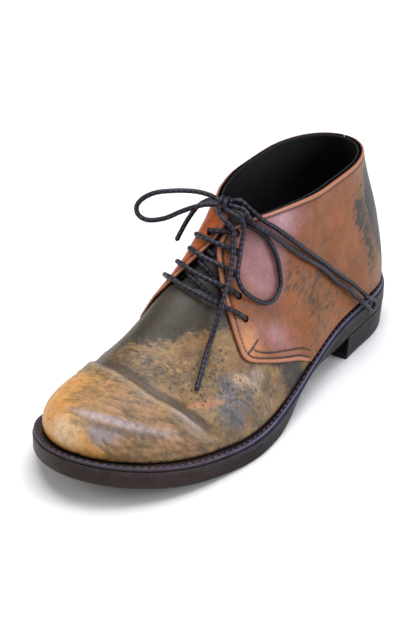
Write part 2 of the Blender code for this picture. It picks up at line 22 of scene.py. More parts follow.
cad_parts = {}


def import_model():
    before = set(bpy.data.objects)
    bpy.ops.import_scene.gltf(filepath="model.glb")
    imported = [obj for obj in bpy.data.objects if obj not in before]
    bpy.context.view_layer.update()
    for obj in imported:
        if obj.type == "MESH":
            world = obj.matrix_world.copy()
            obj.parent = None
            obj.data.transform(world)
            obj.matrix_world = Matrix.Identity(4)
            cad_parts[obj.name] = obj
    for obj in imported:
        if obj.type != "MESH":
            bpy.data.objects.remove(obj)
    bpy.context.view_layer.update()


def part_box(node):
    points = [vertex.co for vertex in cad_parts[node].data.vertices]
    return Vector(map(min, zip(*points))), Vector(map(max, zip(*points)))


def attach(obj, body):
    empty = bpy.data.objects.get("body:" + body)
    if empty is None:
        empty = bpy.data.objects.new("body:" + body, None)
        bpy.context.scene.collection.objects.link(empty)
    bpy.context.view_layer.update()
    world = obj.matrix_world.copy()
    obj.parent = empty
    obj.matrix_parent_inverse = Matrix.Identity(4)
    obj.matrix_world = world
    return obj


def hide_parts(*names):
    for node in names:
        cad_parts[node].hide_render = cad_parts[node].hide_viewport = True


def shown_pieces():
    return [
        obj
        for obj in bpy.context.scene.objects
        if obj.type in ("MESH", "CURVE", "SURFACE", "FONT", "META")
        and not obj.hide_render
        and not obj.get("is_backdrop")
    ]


LOG = logging.getLogger("derby_shoe")
MM = 0.001
GAP = 0.3

Array = np.ndarray
Colour = tuple[float, float, float]
Place = tuple[float, float]
Rows = Sequence[Sequence[float]]
Finish = bpy.types.Material
Piece = bpy.types.Object
Socket = bpy.types.NodeSocket


class Side(Enum):
    """Side of the shoe; the value is the sign of the way round."""

    LATERAL = 1
    MEDIAL = -1


def srgb(red: int, green: int, blue: int) -> Colour:
    """Colour as the renderer wants it, from the usual 0 to 255 values."""
    parts = [c / 255 for c in (red, green, blue)]
    return tuple(c / 12.92 if c <= 0.04045 else ((c + 0.055) / 1.055) ** 2.4 for c in parts)


def smooth_step(x: Array) -> Array:
    """0 before 0, 1 after 1, and a soft S between them."""
    x = np.clip(x, 0.0, 1.0)
    return x * x * (3 - 2 * x)


def rounded(x: Array) -> Array:
    """0 before 0, 1 after 1, and a quarter of a circle between them."""
    return np.sqrt(np.clip(1 - (1 - np.clip(x, 0, 1)) ** 2, 0, 1))


def hump(x: Array, middle: float, reach: float) -> Array:
    """1 at the middle, falling off softly to both sides within about the reach."""
    return np.exp(-((x - middle) / reach) ** 2)


# ================================================================================== the last
class Table:
    """Short table with named columns, read through a smooth curve."""

    def __init__(self, names: str, rows: Rows) -> None:
        """Keeps the columns by name; the first one is the key.

        Args:
            names: the columns' names, with spaces between them.
            rows: the table's rows.
        """
        names = names.split()
        self.columns = dict(zip(names, np.array(rows, float).T))
        self.key = self.columns[names[0]]

    def read(self, name: str, at: Array) -> Array:
        """Value of a column at a key, on a cubic through the rows.

        Args:
            name: the column's name.
            at: keys to read it at.

        Returns:
            The values, one for each key.
        """
        x, y = self.key, self.columns[name]
        slope = np.gradient(y, x)
        at = np.clip(at, x[0], x[-1])
        i = np.clip(np.searchsorted(x, at, side="right") - 1, 0, len(x) - 2)
        span = x[i + 1] - x[i]
        t = (at - x[i]) / span
        return (y[i] * (2 * t**3 - 3 * t**2 + 1) + slope[i] * span * (t**3 - 2 * t**2 + t)
                + y[i + 1] * (3 * t**2 - 2 * t**3) + slope[i + 1] * span * (t**3 - t**2))


PLAN = Table("at centre half_width", [
    (0.00, 1.2, 33.2), (0.13, 1.9, 32.9), (0.28, 4.0, 33.0), (0.42, 5.6, 35.1),
    (0.55, 5.3, 39.6), (0.68, 0.3, 47.1), (0.80, -6.0, 46.8), (0.92, -10.5, 45.5),
    (1.00, -10.0, 41.5),
])
RINGS = Table("h back back_z front front_z width nose tail", [
    (0.00, 0.0, 30.0, 278.0, 28.7, 1.000, 75.0, 42.0),
    (0.06, -1.0, 35.5, 280.0, 37.0, 0.985, 75.0, 42.0),
    (0.13, -1.6, 42.0, 275.0, 44.0, 0.970, 76.0, 42.0),
    (0.22, -1.8, 50.0, 262.0, 49.5, 0.945, 78.0, 42.0),
    (0.34, -1.2, 60.0, 238.0, 54.0, 0.930, 80.0, 43.0),
    (0.48, 0.8, 72.0, 212.5, 64.0, 0.930, 80.0, 44.0),
    (0.62, 4.0, 84.5, 190.5, 77.5, 0.930, 74.0, 46.0),
    (0.76, 7.5, 96.0, 170.5, 89.5, 0.940, 66.0, 48.0),
    (0.88, 10.5, 106.0, 156.0, 100.5, 0.955, 56.0, 47.0),
    (1.00, 13.5, 116.0, 145.0, 111.0, 1.000, 53.0, 46.0),
    (1.10, 16.0, 125.0, 137.0, 119.0, 1.000, 52.0, 45.0),
])
SOLE_EDGE = Table("at grow", [
    (0.00, 4.2), (0.20, 3.6), (0.45, 3.6), (0.70, 4.8), (0.85, 6.0), (1.00, 6.2),
])
QUARTER_EDGE = np.array([
    (0.000, 0.545, 0.545), (0.100, 0.508, 0.508), (0.200, 0.450, 0.452),
    (0.280, 0.391, 0.398), (0.362, 0.322, 0.325), (0.440, 0.291, 0.262),
    (0.545, 0.248, 0.198), (0.630, 0.208, 0.125), (0.695, 0.172, 0.092),
    (0.765, 0.133, 0.056), (0.835, 0.084, 0.008), (0.870, 0.064, -0.018),
    (0.900, 0.053, -0.034), (0.945, 0.052, -0.040), (1.000, 0.054, -0.040),
])
TAPS = np.linspace(-1, 1, 7)
CORNER_BLUR = 0.026
LATERAL_DROP, MEDIAL_RISE = -0.030, 0.040
DOWNWARD = -0.9
TOP_CORNER = (0.94, 0.055)
THROAT_TOP, THROAT_FOOT = 0.695, 0.60


@dataclass(frozen=True)
class Last:
    """Foot form that the leather is drawn over, with the sole's outline round it."""

    length: float = 278.0
    heel_height: float = 16.5
    sole: float = 10.5
    welt: float = 2.4
    lift: float = 0.6
    toe_spring: float = 18.0
    spring_end: float = 1.03
    spring_power: float = 1.8
    breast: float = 0.26
    tread: tuple[float, float] = (0.62, 0.70)
    collar_half_width: float = 27.5
    collar_centre: float = -3.0
    collar_arch: float = 2.0
    ridge_shift: float = -8.0
    medial_slim: float = 0.20
    nose_round: tuple[float, float] = (2.6, 1.0)
    tail_round: float = 2.1
    taper: float = 1.3
    sag_fade: float = 1.5
    step: float = 1e-3

    def ground(self, station: Array) -> Array:
        """Height of the sole's underside: heel seat, arch, flat tread, toe spring.

        Args:
            station: distances from the last's back end, in millimetres.

        Returns:
            The heights, in millimetres.
        """
        at = np.asarray(station) / self.length
        arch = self.heel_height * (
            1 - smooth_step((at - self.breast) / (self.tread[0] - self.breast)))
        rise = np.clip((at - self.tread[1]) / (self.spring_end - self.tread[1]), 0, None)
        return arch + self.toe_spring * rise**self.spring_power

    def foot(self, station: Array) -> Array:
        """Height of the feather line, where the upper stands on the welt."""
        return self.ground(station) + self.sole + self.welt + self.lift

    @staticmethod
    def rounding(q: Array, power: Array) -> Array:
        """0 at the tip, 1 where the end's rounding is over, without a corner there.

        Args:
            q: places in the rounding, 0 at the tip and 1 where it is over.
            power: how round it is; 2 is a circle's curve.

        Returns:
            The share of the full width at each place.
        """
        blur = 0.16 * smooth_step(q / 0.6)
        spread = [np.clip(q + blur * tap, 0, 1) for tap in TAPS]
        return np.mean([np.sqrt(np.maximum(0.0, 1 - (1 - at) ** power)) for at in spread], axis=0)

    def point(self, h: Array, v: Array) -> Array:
        """Points of the last.

        Args:
            h: heights up the upper.
            v: ways round it.

        Returns:
            Points in millimetres, in a last axis of three.
        """
        h, v = np.broadcast_arrays(np.asarray(h, float), np.asarray(v, float))
        v = (v + 1) % 2 - 1
        side, turn = np.sign(v), np.abs(v)
        back, front = RINGS.read("back", h), RINGS.read("front", h)
        forward = (1 + np.cos(math.pi * turn)) / 2
        station = back + (front - back) * forward
        low = np.clip(h, 0, 1)
        at_foot, at_top = self.nose_round
        nose = self.rounding((front - station) / RINGS.read("nose", h),
                             at_foot - (at_foot - at_top) * low)
        tail = self.rounding((station - back) / RINGS.read("tail", h), self.tail_round)

        at = np.clip(station / self.length, 0, 1)
        rise = np.clip(h, 0, None) ** self.taper
        half = PLAN.read("half_width", at) * (1 - rise) + self.collar_half_width * rise
        centre = PLAN.read("centre", at) * (1 - rise) + self.collar_centre * rise
        centre = centre + self.ridge_shift * np.sin(math.pi * low) * forward**2
        slim = (side < 0) * self.medial_slim * np.sin(math.pi * low) * forward**2
        x = centre + side * half * RINGS.read("width", h) * nose * tail * (1 - slim)

        ends = self.foot(0.0), self.foot(self.length)
        sag = self.foot(forward * self.length) - (ends[0] + (ends[1] - ends[0]) * forward)
        low_z, high_z = RINGS.read("back_z", h), RINGS.read("front_z", h)
        z = low_z + (high_z - low_z) * forward + sag * np.clip(1 - h, 0, 1) ** self.sag_fade
        z = z + self.collar_arch * low**2 * 4 * forward * (1 - forward)
        return np.stack([x, self.length / 2 - station, z], axis=-1)

    def steps(self, h: Array, v: Array) -> tuple[Array, Array]:
        """Small moves up the surface and round it, each over two steps."""
        return (self.point(h + self.step, v) - self.point(h - self.step, v),
                self.point(h, v + self.step) - self.point(h, v - self.step))

    def normal(self, h: Array, v: Array) -> Array:
        """Outward directions of the last's surface.

        Args:
            h: heights up the upper.
            v: ways round it.

        Returns:
            One unit vector for each place.
        """
        up, round_ = self.steps(h, v)
        out = np.cross(round_, up)
        return out / np.linalg.norm(out, axis=-1, keepdims=True)

    def off(self, h: Array, v: Array, offset: Array) -> Array:
        """Points at a distance outside (+) or inside (-) the last."""
        h, v = np.asarray(h, float), np.asarray(v, float)
        return self.point(h, v) + self.normal(h, v) * np.asarray(offset, float)[..., None]

    def outline(self, v: Array, edge: float, grow: Array, middle: bool = False) -> Array:
        """Feather line grown outwards in plan.

        Args:
            v: ways round it.
            edge: 0 follows the feather line, 1 the sole's edge.
            grow: how far it is grown, in millimetres.
            middle: gives the line halfway between both sides instead.

        Returns:
            Points in plan.
        """
        if middle:
            return (self.outline(v, edge, grow) + self.outline(-v, edge, grow)) / 2
        point = self.point(0.0, v)
        along = self.steps(0.0, v)[1]
        out = np.stack([along[..., 1], -along[..., 0]], axis=-1)
        out /= np.linalg.norm(out, axis=-1, keepdims=True)
        station = self.length / 2 - point[..., 1]
        distance = grow + edge * SOLE_EDGE.read("grow", station / self.length)
        return point[..., :2] + out * distance[..., None]

    def row(self, v: Array, edge: float, grow: Array, rise: float, middle: bool = False) -> Array:
        """Row of points round the sole, at a height above the tread."""
        flat = self.outline(v, edge, grow, middle)
        return np.column_stack([flat, self.ground(self.length / 2 - flat[:, 1]) + rise])

    def measure(self, h: float, v: float) -> Place:
        """Millimetres per unit of h and per unit of v at a place."""
        return tuple(np.linalg.norm(d) / (2 * self.step) for d in self.steps(h, v))

    def inset(self, path: Array, distance: float, side: int) -> Array:
        """Line on one side of the last beside another that runs down, that far behind it.

        Args:
            path: heights and ways round of the line, without the side's sign.
            distance: how far behind it the new one runs, in millimetres.
            side: 1 on the lateral side, -1 on the medial one.

        Returns:
            Heights and ways round of the new line.
        """
        path = np.asarray(path, float)
        scale = np.array([self.measure(h, side * turn) for h, turn in path])
        along = np.gradient(path, axis=0) * scale
        along /= np.linalg.norm(along, axis=1, keepdims=True)
        behind = np.column_stack([along[:, 1], -along[:, 0]])
        return path + behind * distance / scale


LAST = Last()


def quarter_edge(h: Array, side: int = 1) -> Array:
    """How far round its side a quarter begins at height h, its corners rounded.

    Args:
        h: heights up the upper.
        side: 1 on the lateral side, -1 on the medial one.

    Returns:
        Ways round, counted from the ridge towards that side.
    """
    h = np.asarray(h, float)
    ways = QUARTER_EDGE[:, 1 if side > 0 else 2]
    spread = [np.interp(h + tap, QUARTER_EDGE[:, 0], ways) for tap in CORNER_BLUR * TAPS]
    start, reach = TOP_CORNER
    turn = np.clip((h - start) / (1 - start), 0, 1)
    reach = reach if side > 0 else reach / 2
    return np.mean(spread, axis=0) + reach * (1 - np.sqrt(1 - turn**2))


def throat_edge(v: Array) -> Array:
    """Height at which the vamp ends, arched over the ridge."""
    beside = np.maximum(0.0, np.abs(v - 0.02) - 0.04)
    return np.maximum(THROAT_FOOT, THROAT_TOP - 3.6 * beside**2)


def collar(h: Array, v: Array) -> Array:
    """Heights with the top line lowered at the lateral facing and drawn up at the medial one.

    Args:
        h: heights that end in a level top line.
        v: ways round.

    Returns:
        The heights with the real top line.
    """
    lateral = LATERAL_DROP * smooth_step((0.21 - v) / 0.14)
    medial = MEDIAL_RISE * smooth_step((v + 0.42) / 0.17)
    return h + np.where(v > 0.047, lateral, medial) * smooth_step((h - 0.8) / 0.2)


def spaced(path: Array, pitch: float) -> Array:
    """Points at even spacing along a line of points.

    Args:
        path: the line's points, in millimetres.
        pitch: the spacing wanted; the nearest that divides the line is used.

    Returns:
        The evenly spaced points, ends included.
    """
    path = np.asarray(path, float)
    run = np.concatenate([[0], np.cumsum(np.linalg.norm(np.diff(path, axis=0), axis=1))])
    at = np.linspace(0, run[-1], max(2, round(run[-1] / pitch) + 1))
    return np.column_stack([np.interp(at, run, path[:, k]) for k in range(path.shape[1])])


def smooth_route(points: Rows, pitch: float) -> Array:
    """Evenly spaced points along a smooth curve through a route's points.

    Args:
        points: the route's points, in millimetres or as places on the last.
        pitch: the spacing wanted, in the same unit.

    Returns:
        The evenly spaced points, ends included.
    """
    points = np.array([np.asarray(p, float) for p in points])
    ends = [2 * points[0] - points[1], *points, 2 * points[-1] - points[-2]]
    dense = []
    for a, b, c, d in zip(ends, ends[1:], ends[2:], ends[3:]):
        for t in np.linspace(0, 1, 12, endpoint=False):
            dense.append(0.5 * (2 * b + (c - a) * t + (2 * a - 5 * b + 4 * c - d) * t**2
                                + (3 * b - a - 3 * c + d) * t**3))
    return spaced(np.array(dense + [points[-1]]), pitch)


def nearest(points: Array, path: Array) -> tuple[Array, Array, Array]:
    """Distance from each point to a line of points.

    Args:
        points: the points, in millimetres.
        path: the line's points.

    Returns:
        The distance, the run along the line to its nearest point, and the vector from there.
    """
    start, span = path[:-1], np.diff(path, axis=0)
    length = np.linalg.norm(span, axis=1)
    run = np.concatenate([[0], np.cumsum(length)])[:-1]
    best = np.full(len(points), np.inf)
    along, away = np.zeros(len(points)), np.zeros_like(points)
    for a, d, size, begin in zip(start, span, length, run):
        part = np.clip((points - a) @ d / size**2, 0, 1)
        offset = points - a - part[:, None] * d
        distance = np.linalg.norm(offset, axis=1)
        closer = distance < best
        best[closer] = distance[closer]
        along[closer] = begin + part[closer] * size
        away[closer] = offset[closer]
    return best, along, away


def ripple(points: Array, wave: float, seed: float, octaves: int = 3) -> Array:
    """Soft three-dimensional noise from -1 to 1, with waves of about the given length."""
    return np.array([noise.fractal(Vector(p) / wave + Vector((seed, 0, 0)), 0.8, 2.0, octaves,
                                   noise_basis="PERLIN_NEW") for p in points])


def uneven(points: Array, layers: Rows) -> Array:
    """Ripples added up; each layer has an amount in millimetres, a wave and a seed."""
    return sum(amount * ripple(points, wave, seed) for amount, wave, seed in layers)


# ================================================================================== building
def meshed(shape: bmesh.types.BMesh, name: str) -> bpy.types.Mesh:
    """Ends a shape's building and gives it as a mesh.

    Args:
        shape: the shape, which is freed.
        name: the mesh's name.

    Returns:
        The mesh.
    """
    mesh = bpy.data.meshes.new(name)
    shape.to_mesh(mesh)
    shape.free()
    return mesh


def put(name: str, data: object) -> Piece:
    """New object in the scene.

    Args:
        name: the object's name.
        data: its mesh, light or camera.

    Returns:
        The object.
    """
    made = bpy.data.objects.new(name, data)
    bpy.context.scene.collection.objects.link(made)
    return made


@dataclass
class Workshop:
    """What every piece needs: the frame's shift and the body that the pieces ride on."""

    shift: Array
    body: str = "root"

    @classmethod
    def for_frame(cls) -> Workshop:
        """Finds where the last stands in the frame, from the outsole's box.

        Returns:
            The workshop, its pieces riding on the only body.
        """
        low, high = (np.array(corner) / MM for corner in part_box("outsole"))
        flat = LAST.outline(np.linspace(-1, 1, 85), 1, 0)
        middle = (flat.min(axis=0) + flat.max(axis=0)) / 2
        return cls(np.array([*((low + high)[:2] / 2 - middle), low[2]]))

    def metres(self, points: Array) -> Array:
        """Places in the frame, in metres, of points of the last in millimetres."""
        return (np.asarray(points, float) + self.shift) * MM

    def add(self, name: str, mesh: bpy.types.Mesh, *materials: Finish,
            node: str = "", slot: str = "") -> Piece:
        """Makes the piece, lets it ride, and hides the CAD node that it replaces.

        Args:
            name: the piece's name.
            mesh: its mesh, in place.
            materials: the finishes, in the order of the mesh's material indices.
            node: the CAD node it replaces, if any.
            slot: the record's material slot for its finish; not used.

        Returns:
            The new object.
        """
        piece = put(name, mesh)
        for material in materials:
            mesh.materials.append(material)
        mesh.shade_smooth()
        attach(piece, self.body)
        if node:
            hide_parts(node)
        return piece


def wall(piece: Piece, thickness: float, inner: int = 1, round_: float = 0.0) -> None:
    """Gives a surface its thickness, inwards, and rounds the wall's edges.

    Args:
        piece: the piece.
        thickness: the wall's thickness, in millimetres.
        inner: how many finishes further on the inside's is, from the outside's.
        round_: how far its edges are rounded, in millimetres.
    """
    solid = piece.modifiers.new("wall", "SOLIDIFY")
    solid.thickness = thickness * MM
    solid.offset = -1.0
    solid.material_offset = inner
    if round_:
        soft = piece.modifiers.new("soft_edge", "BEVEL")
        soft.width = round_ * MM
        soft.segments = 2
        soft.limit_method = "ANGLE"
        soft.angle_limit = math.radians(50)


class Sheet:
    """Grid whose vertices know their place; it is shaped, painted and made a piece.

    The grid is rows by columns. Vertex (row, column) has the given coordinates a and b, kept as the
    sheet's a and b; its own UV map, made by unwrap, lets a finish follow the surface.
    """

    def __init__(self, name: str, a: Array, b: Array, keep: Array | None = None) -> None:
        """Makes the grid.

        Args:
            name: the mesh's name.
            a: first coordinate of each vertex.
            b: second coordinate of each vertex.
            keep: whether each cell stays; without it they all do.
        """
        rows, columns = a.shape
        shape = bmesh.new()
        bmesh.ops.create_grid(shape, x_segments=columns - 1, y_segments=rows - 1, size=1.0)
        if keep is not None:
            half = np.array([columns - 1, rows - 1]) / 2
            dropped = []
            for face in shape.faces:
                middle = face.calc_center_median()
                column, row = int((middle.x + 1) * half[0]), int((middle.y + 1) * half[1])
                if not keep[row, column]:
                    dropped.append(face)
            bmesh.ops.delete(shape, geom=dropped, context="FACES")
        self.mesh = meshed(shape, name)
        flat = np.array([vertex.co for vertex in self.mesh.vertices])
        self.column = np.rint((flat[:, 0] + 1) / 2 * (columns - 1)).astype(int)
        self.row = np.rint((flat[:, 1] + 1) / 2 * (rows - 1)).astype(int)
        self.a, self.b = a[self.row, self.column], b[self.row, self.column]

    def shape(self, places: Array) -> None:
        """Moves the vertices to places in metres."""
        self.mesh.vertices.foreach_set("co", places.astype(np.float32).ravel())
        self.mesh.update()

    def paint(self, name: str, values: Array) -> None:
        """Keeps one number for each vertex, for the finish to read."""
        layer = self.mesh.attributes.new(name, "FLOAT", "POINT")
        layer.data.foreach_set("value", np.asarray(values, np.float32))

    def unwrap(self, across: Array, along: Array) -> None:
        """UV map in metres, from two lengths in millimetres for each vertex.

        Args:
            across: the first length of each vertex.
            along: the second length of each vertex.
        """
        layer = self.mesh.uv_layers.new(name="lengths")
        corner = np.empty(len(self.mesh.loops), dtype=np.int32)
        self.mesh.loops.foreach_get("vertex_index", corner)
        flat = np.column_stack([across, along])[corner] * MM
        layer.uv.foreach_set("vector", flat.astype(np.float32).ravel())

    def close(self, fill: bool = False) -> None:
        """Merges vertices that coincide, closes open rims if told to, and turns faces out.

        Args:
            fill: whether open rims are closed.
        """
        shape = bmesh.new()
        shape.from_mesh(self.mesh)
        bmesh.ops.remove_doubles(shape, verts=shape.verts, dist=1e-6)
        if fill:
            bmesh.ops.holes_fill(shape, edges=[e for e in shape.edges if e.is_boundary])
        bmesh.ops.recalc_face_normals(shape, faces=shape.faces)
        shape.to_mesh(self.mesh)
        shape.free()

    def border(self) -> list[tuple[int, int]]:
        """Pairs of vertices along the open edges.

        Returns:
            The indices of both vertices of each open edge.
        """
        shape = bmesh.new()
        shape.from_mesh(self.mesh)
        pairs = [(e.verts[0].index, e.verts[1].index) for e in shape.edges if e.is_boundary]
        shape.free()
        return pairs


class Skin(Sheet):
    """Sheet of leather on the last."""

    def __init__(self, name: str, h: Array, v: Array, keep: Array | None = None) -> None:
        """Lays the grid on the last and finds each vertex's distance from the border.

        Args:
            name: the mesh's name.
            h: height of each vertex.
            v: way round of each vertex.
            keep: whether each cell stays; without it they all do.
        """
        super().__init__(name, h, v, keep)
        self.h, self.v = self.a, self.b
        self.base = LAST.point(self.h, self.v)
        self.out = LAST.normal(self.h, self.v)
        self.edge = self.edge_distance()

    def edge_distance(self, reach: float = 12.0) -> Array:
        """Distance of each vertex from the sheet's nearest open edge, up to a reach.

        Args:
            reach: the most that is measured, in millimetres.

        Returns:
            The distances, in millimetres.
        """
        distance = np.full(len(self.base), reach)
        for first, second in self.border():
            a, b = self.base[first], self.base[second]
            close = np.flatnonzero(np.abs(self.base - (a + b) / 2).max(axis=1) < reach)
            span = b - a
            part = np.clip((self.base[close] - a) @ span / max(span @ span, 1e-9), 0, 1)
            apart = np.linalg.norm(self.base[close] - a - part[:, None] * span, axis=1)
            distance[close] = np.minimum(distance[close], apart)
        return distance

    def lay(self, shop: Workshop, offset: Array) -> None:
        """Puts the sheet at an offset from the last."""
        offset = np.broadcast_to(offset, self.h.shape)
        self.shape(shop.metres(self.base + self.out * offset[:, None]))

    def dress(self, washes: dict[str, Rows]) -> None:
        """Paints the masks of a finish's washes and marks, each from its spots."""
        for name, spots in washes.items():
            self.paint(name, self.patch(spots))

    def patch(self, spots: Rows) -> Array:
        """Soft-edged patches.

        Args:
            spots: rows of height, way round, reach in millimetres and strength.

        Returns:
            The patches' strength at each vertex.
        """
        total = np.zeros(len(self.h))
        for h, v, reach, strength in spots:
            apart = np.linalg.norm(self.base - LAST.point(h, v), axis=1)
            total += strength * hump(apart, 0, reach)
        return np.clip(total, -1.0, 1.0)

    def beside(self, line: Sequence[Place], pitch: float = 2.0) -> tuple[Array, Array]:
        """Signed distance from a line on the last, and the run along it.

        Args:
            line: places on the last; the distance is + on its right, seen from outside.
            pitch: spacing of the points that the line is followed by, in millimetres.

        Returns:
            The distance and the run at each vertex, in millimetres.
        """
        route = smooth_route(line, 0.01)
        path = spaced(LAST.point(route[:, 0], route[:, 1]), pitch)
        distance, along, away = nearest(self.base, path)
        forward = np.gradient(path, axis=0)
        step = np.clip((along / pitch).astype(int), 0, len(path) - 1)
        right = np.cross(forward[step], self.out)
        side = np.sign(np.einsum("ij,ij->i", away, right))
        return distance * np.where(side == 0, 1, side), along


# ================================================================================== finishes
class Graph:
    """Node tree of one finish, built a value at a time."""

    def __init__(self, name: str, **sockets: float | Colour) -> None:
        """Starts with a Principled shader and sets its named sockets.

        Args:
            name: the material's name.
            sockets: value of each socket, its name in lower case with underscores.
        """
        self.material = bpy.data.materials.new(name)
        self.material.use_nodes = True
        self.tree = self.material.node_tree
        self.shader = self.tree.nodes["Principled BSDF"]
        names = {s.name.lower().replace(" ", "_"): s for s in self.shader.inputs}
        for key, value in sockets.items():
            self.link(value, names[key])
        self.point = self.node("ShaderNodeTexCoord").outputs["Object"]

    def node(self, kind: str, **settings: object) -> bpy.types.Node:
        """New node with some of its settings.

        Args:
            kind: the node's type.
            settings: its properties, by name.

        Returns:
            The node.
        """
        made = self.tree.nodes.new(kind)
        for key, value in settings.items():
            setattr(made, key, value)
        return made

    def link(self, value: object, socket: Socket) -> None:
        """Puts a socket's output, a number or a colour into an input.

        Args:
            value: the output, number or colour.
            socket: the input.
        """
        if isinstance(value, Socket):
            self.tree.links.new(value, socket)
        elif isinstance(value, tuple) and len(value) == 3 and socket.type == "RGBA":
            socket.default_value = (*value, 1.0)
        else:
            socket.default_value = value

    def finish(self, colour: object, roughness: object, relief: object) -> Finish:
        """Feeds the shader and gives the material.

        Args:
            colour: the base colour.
            roughness: the roughness.
            relief: the relief, as a normal.

        Returns:
            The material.
        """
        for name, value in (("Base Color", colour), ("Roughness", roughness),
                            ("Normal", relief)):
            self.link(value, self.shader.inputs[name])
        return self.material

    def value(self, name: str) -> Socket:
        """Number that the piece keeps at its vertices."""
        return self.node("ShaderNodeAttribute", attribute_name=name).outputs["Fac"]

    def uv(self) -> Socket:
        """The piece's own map of lengths."""
        return self.node("ShaderNodeUVMap", uv_map="lengths").outputs["UV"]

    def turned(self, vector: object, turn: Sequence[float], scale: Sequence[float],
               shift: float = 0.0) -> Socket:
        """Pattern space turned by degrees, scaled along its own axes and moved by metres.

        Args:
            vector: the space to start from.
            turn: degrees about x, y and z.
            scale: factors along the turned axes.
            shift: how far the pattern is moved, in metres.

        Returns:
            The new space.
        """
        rotate = self.node("ShaderNodeMapping", vector_type="TEXTURE")
        rotate.inputs["Rotation"].default_value = [math.radians(a) for a in turn]
        self.link(vector, rotate.inputs["Vector"])
        stretch = self.node("ShaderNodeMapping")
        stretch.inputs["Scale"].default_value = scale
        stretch.inputs["Location"].default_value = (shift, 2 * shift, 0.5 * shift)
        self.link(rotate.outputs["Vector"], stretch.inputs["Vector"])
        return stretch.outputs["Vector"]

    def noise(self, wave: float, vector: object = None, detail: float = 3.0, rough: float = 0.5,
              warp: float = 0.0) -> Socket:
        """Noise with features of about the given size in millimetres.

        Args:
            wave: size of the features, in millimetres.
            vector: the space it is drawn in; without one, the object's own.
            detail: how many finer layers lie on it.
            rough: how strong the finer layers are.
            warp: how far it is distorted.

        Returns:
            The noise, from about 0 to 1.
        """
        made = self.node("ShaderNodeTexNoise")
        self.link(self.point if vector is None else vector, made.inputs["Vector"])
        made.inputs["Scale"].default_value = 1 / (wave * MM)
        made.inputs["Detail"].default_value = detail
        made.inputs["Roughness"].default_value = rough
        made.inputs["Distortion"].default_value = warp
        return made.outputs["Fac"]

    def cells(self, size: float) -> bpy.types.Node:
        """Cells of about the given size in millimetres.

        Args:
            size: the cells' size, in millimetres.

        Returns:
            The node, which gives distances and colours.
        """
        made = self.node("ShaderNodeTexVoronoi")
        self.link(self.point, made.inputs["Vector"])
        made.inputs["Scale"].default_value = 1 / (size * MM)
        return made

    def calc(self, operation: str, first: object, second: object = 0.0,
             third: object = 0.0) -> Socket:
        """Arithmetic on numbers.

        Args:
            operation: what is worked out.
            first: the first number.
            second: the second number.
            third: the third number.

        Returns:
            The result.
        """
        made = self.node("ShaderNodeMath", operation=operation)
        for value, socket in zip((first, second, third), made.inputs):
            self.link(value, socket)
        return made.outputs["Value"]

    def sway(self, noise_: object, amount: float, middle: object) -> Socket:
        """Value moved up and down by noise; the amount is from one end to the other."""
        return self.calc("MULTIPLY_ADD", self.calc("SUBTRACT", noise_, 0.5), amount, middle)

    def ease(self, value: object, low: float, high: float, start: float = 0.0,
             stop: float = 1.0) -> Socket:
        """Soft step from start to stop as the value goes from low to high.

        Args:
            value: the value.
            low: where the step begins.
            high: where it ends.
            start: what the result is up to low.
            stop: what it is from high on.

        Returns:
            The result.
        """
        made = self.node("ShaderNodeMapRange", interpolation_type="SMOOTHSTEP")
        for key, number in (("From Min", low), ("From Max", high), ("To Min", start),
                            ("To Max", stop)):
            made.inputs[key].default_value = number
        self.link(value, made.inputs["Value"])
        return made.outputs["Result"]

    def blend(self, part: object, first: object, second: object, mode: str = "MIX") -> Socket:
        """Two colours mixed; part 0 gives the first.

        Args:
            part: how much of the second colour there is.
            first: the colour underneath.
            second: the colour mixed into it.
            mode: how they are mixed.

        Returns:
            The mixed colour.
        """
        made = self.node("ShaderNodeMix", data_type="RGBA", blend_type=mode)
        self.link(part, made.inputs["Factor"])
        sockets = [s for s in made.inputs if s.type == "RGBA"]
        self.link(first, sockets[0])
        self.link(second, sockets[1])
        return next(s for s in made.outputs if s.type == "RGBA")

    def over(self, colour: object, paint: object, mask: object, *steps: float) -> Socket:
        """Colour with a paint over it, as far as a mask eased between steps says."""
        mask = self.value(mask) if isinstance(mask, str) else mask
        return self.blend(self.ease(mask, *steps), colour, paint)

    def bump(self, height: object, depth: float, under: object = None) -> Socket:
        """Relief that many millimetres deep, over another relief.

        Args:
            height: the relief, from 0 to 1.
            depth: how deep it is.
            under: the relief that it lies on, if any.

        Returns:
            Both reliefs together, as a normal.
        """
        made = self.node("ShaderNodeBump")
        made.inputs["Strength"].default_value = 1.0
        made.inputs["Distance"].default_value = depth * MM
        self.link(height, made.inputs["Height"])
        if under is not None:
            self.link(under, made.inputs["Normal"])
        return made.outputs["Normal"]


@dataclass(frozen=True)
class Wash:
    """One colour washed over leather where a painted mask is strong, broken up by noise."""

    mask: str
    colour: Colour
    low: float
    high: float
    ragged: float
    wave: float
    strength: float
    stretch: float = 1.0


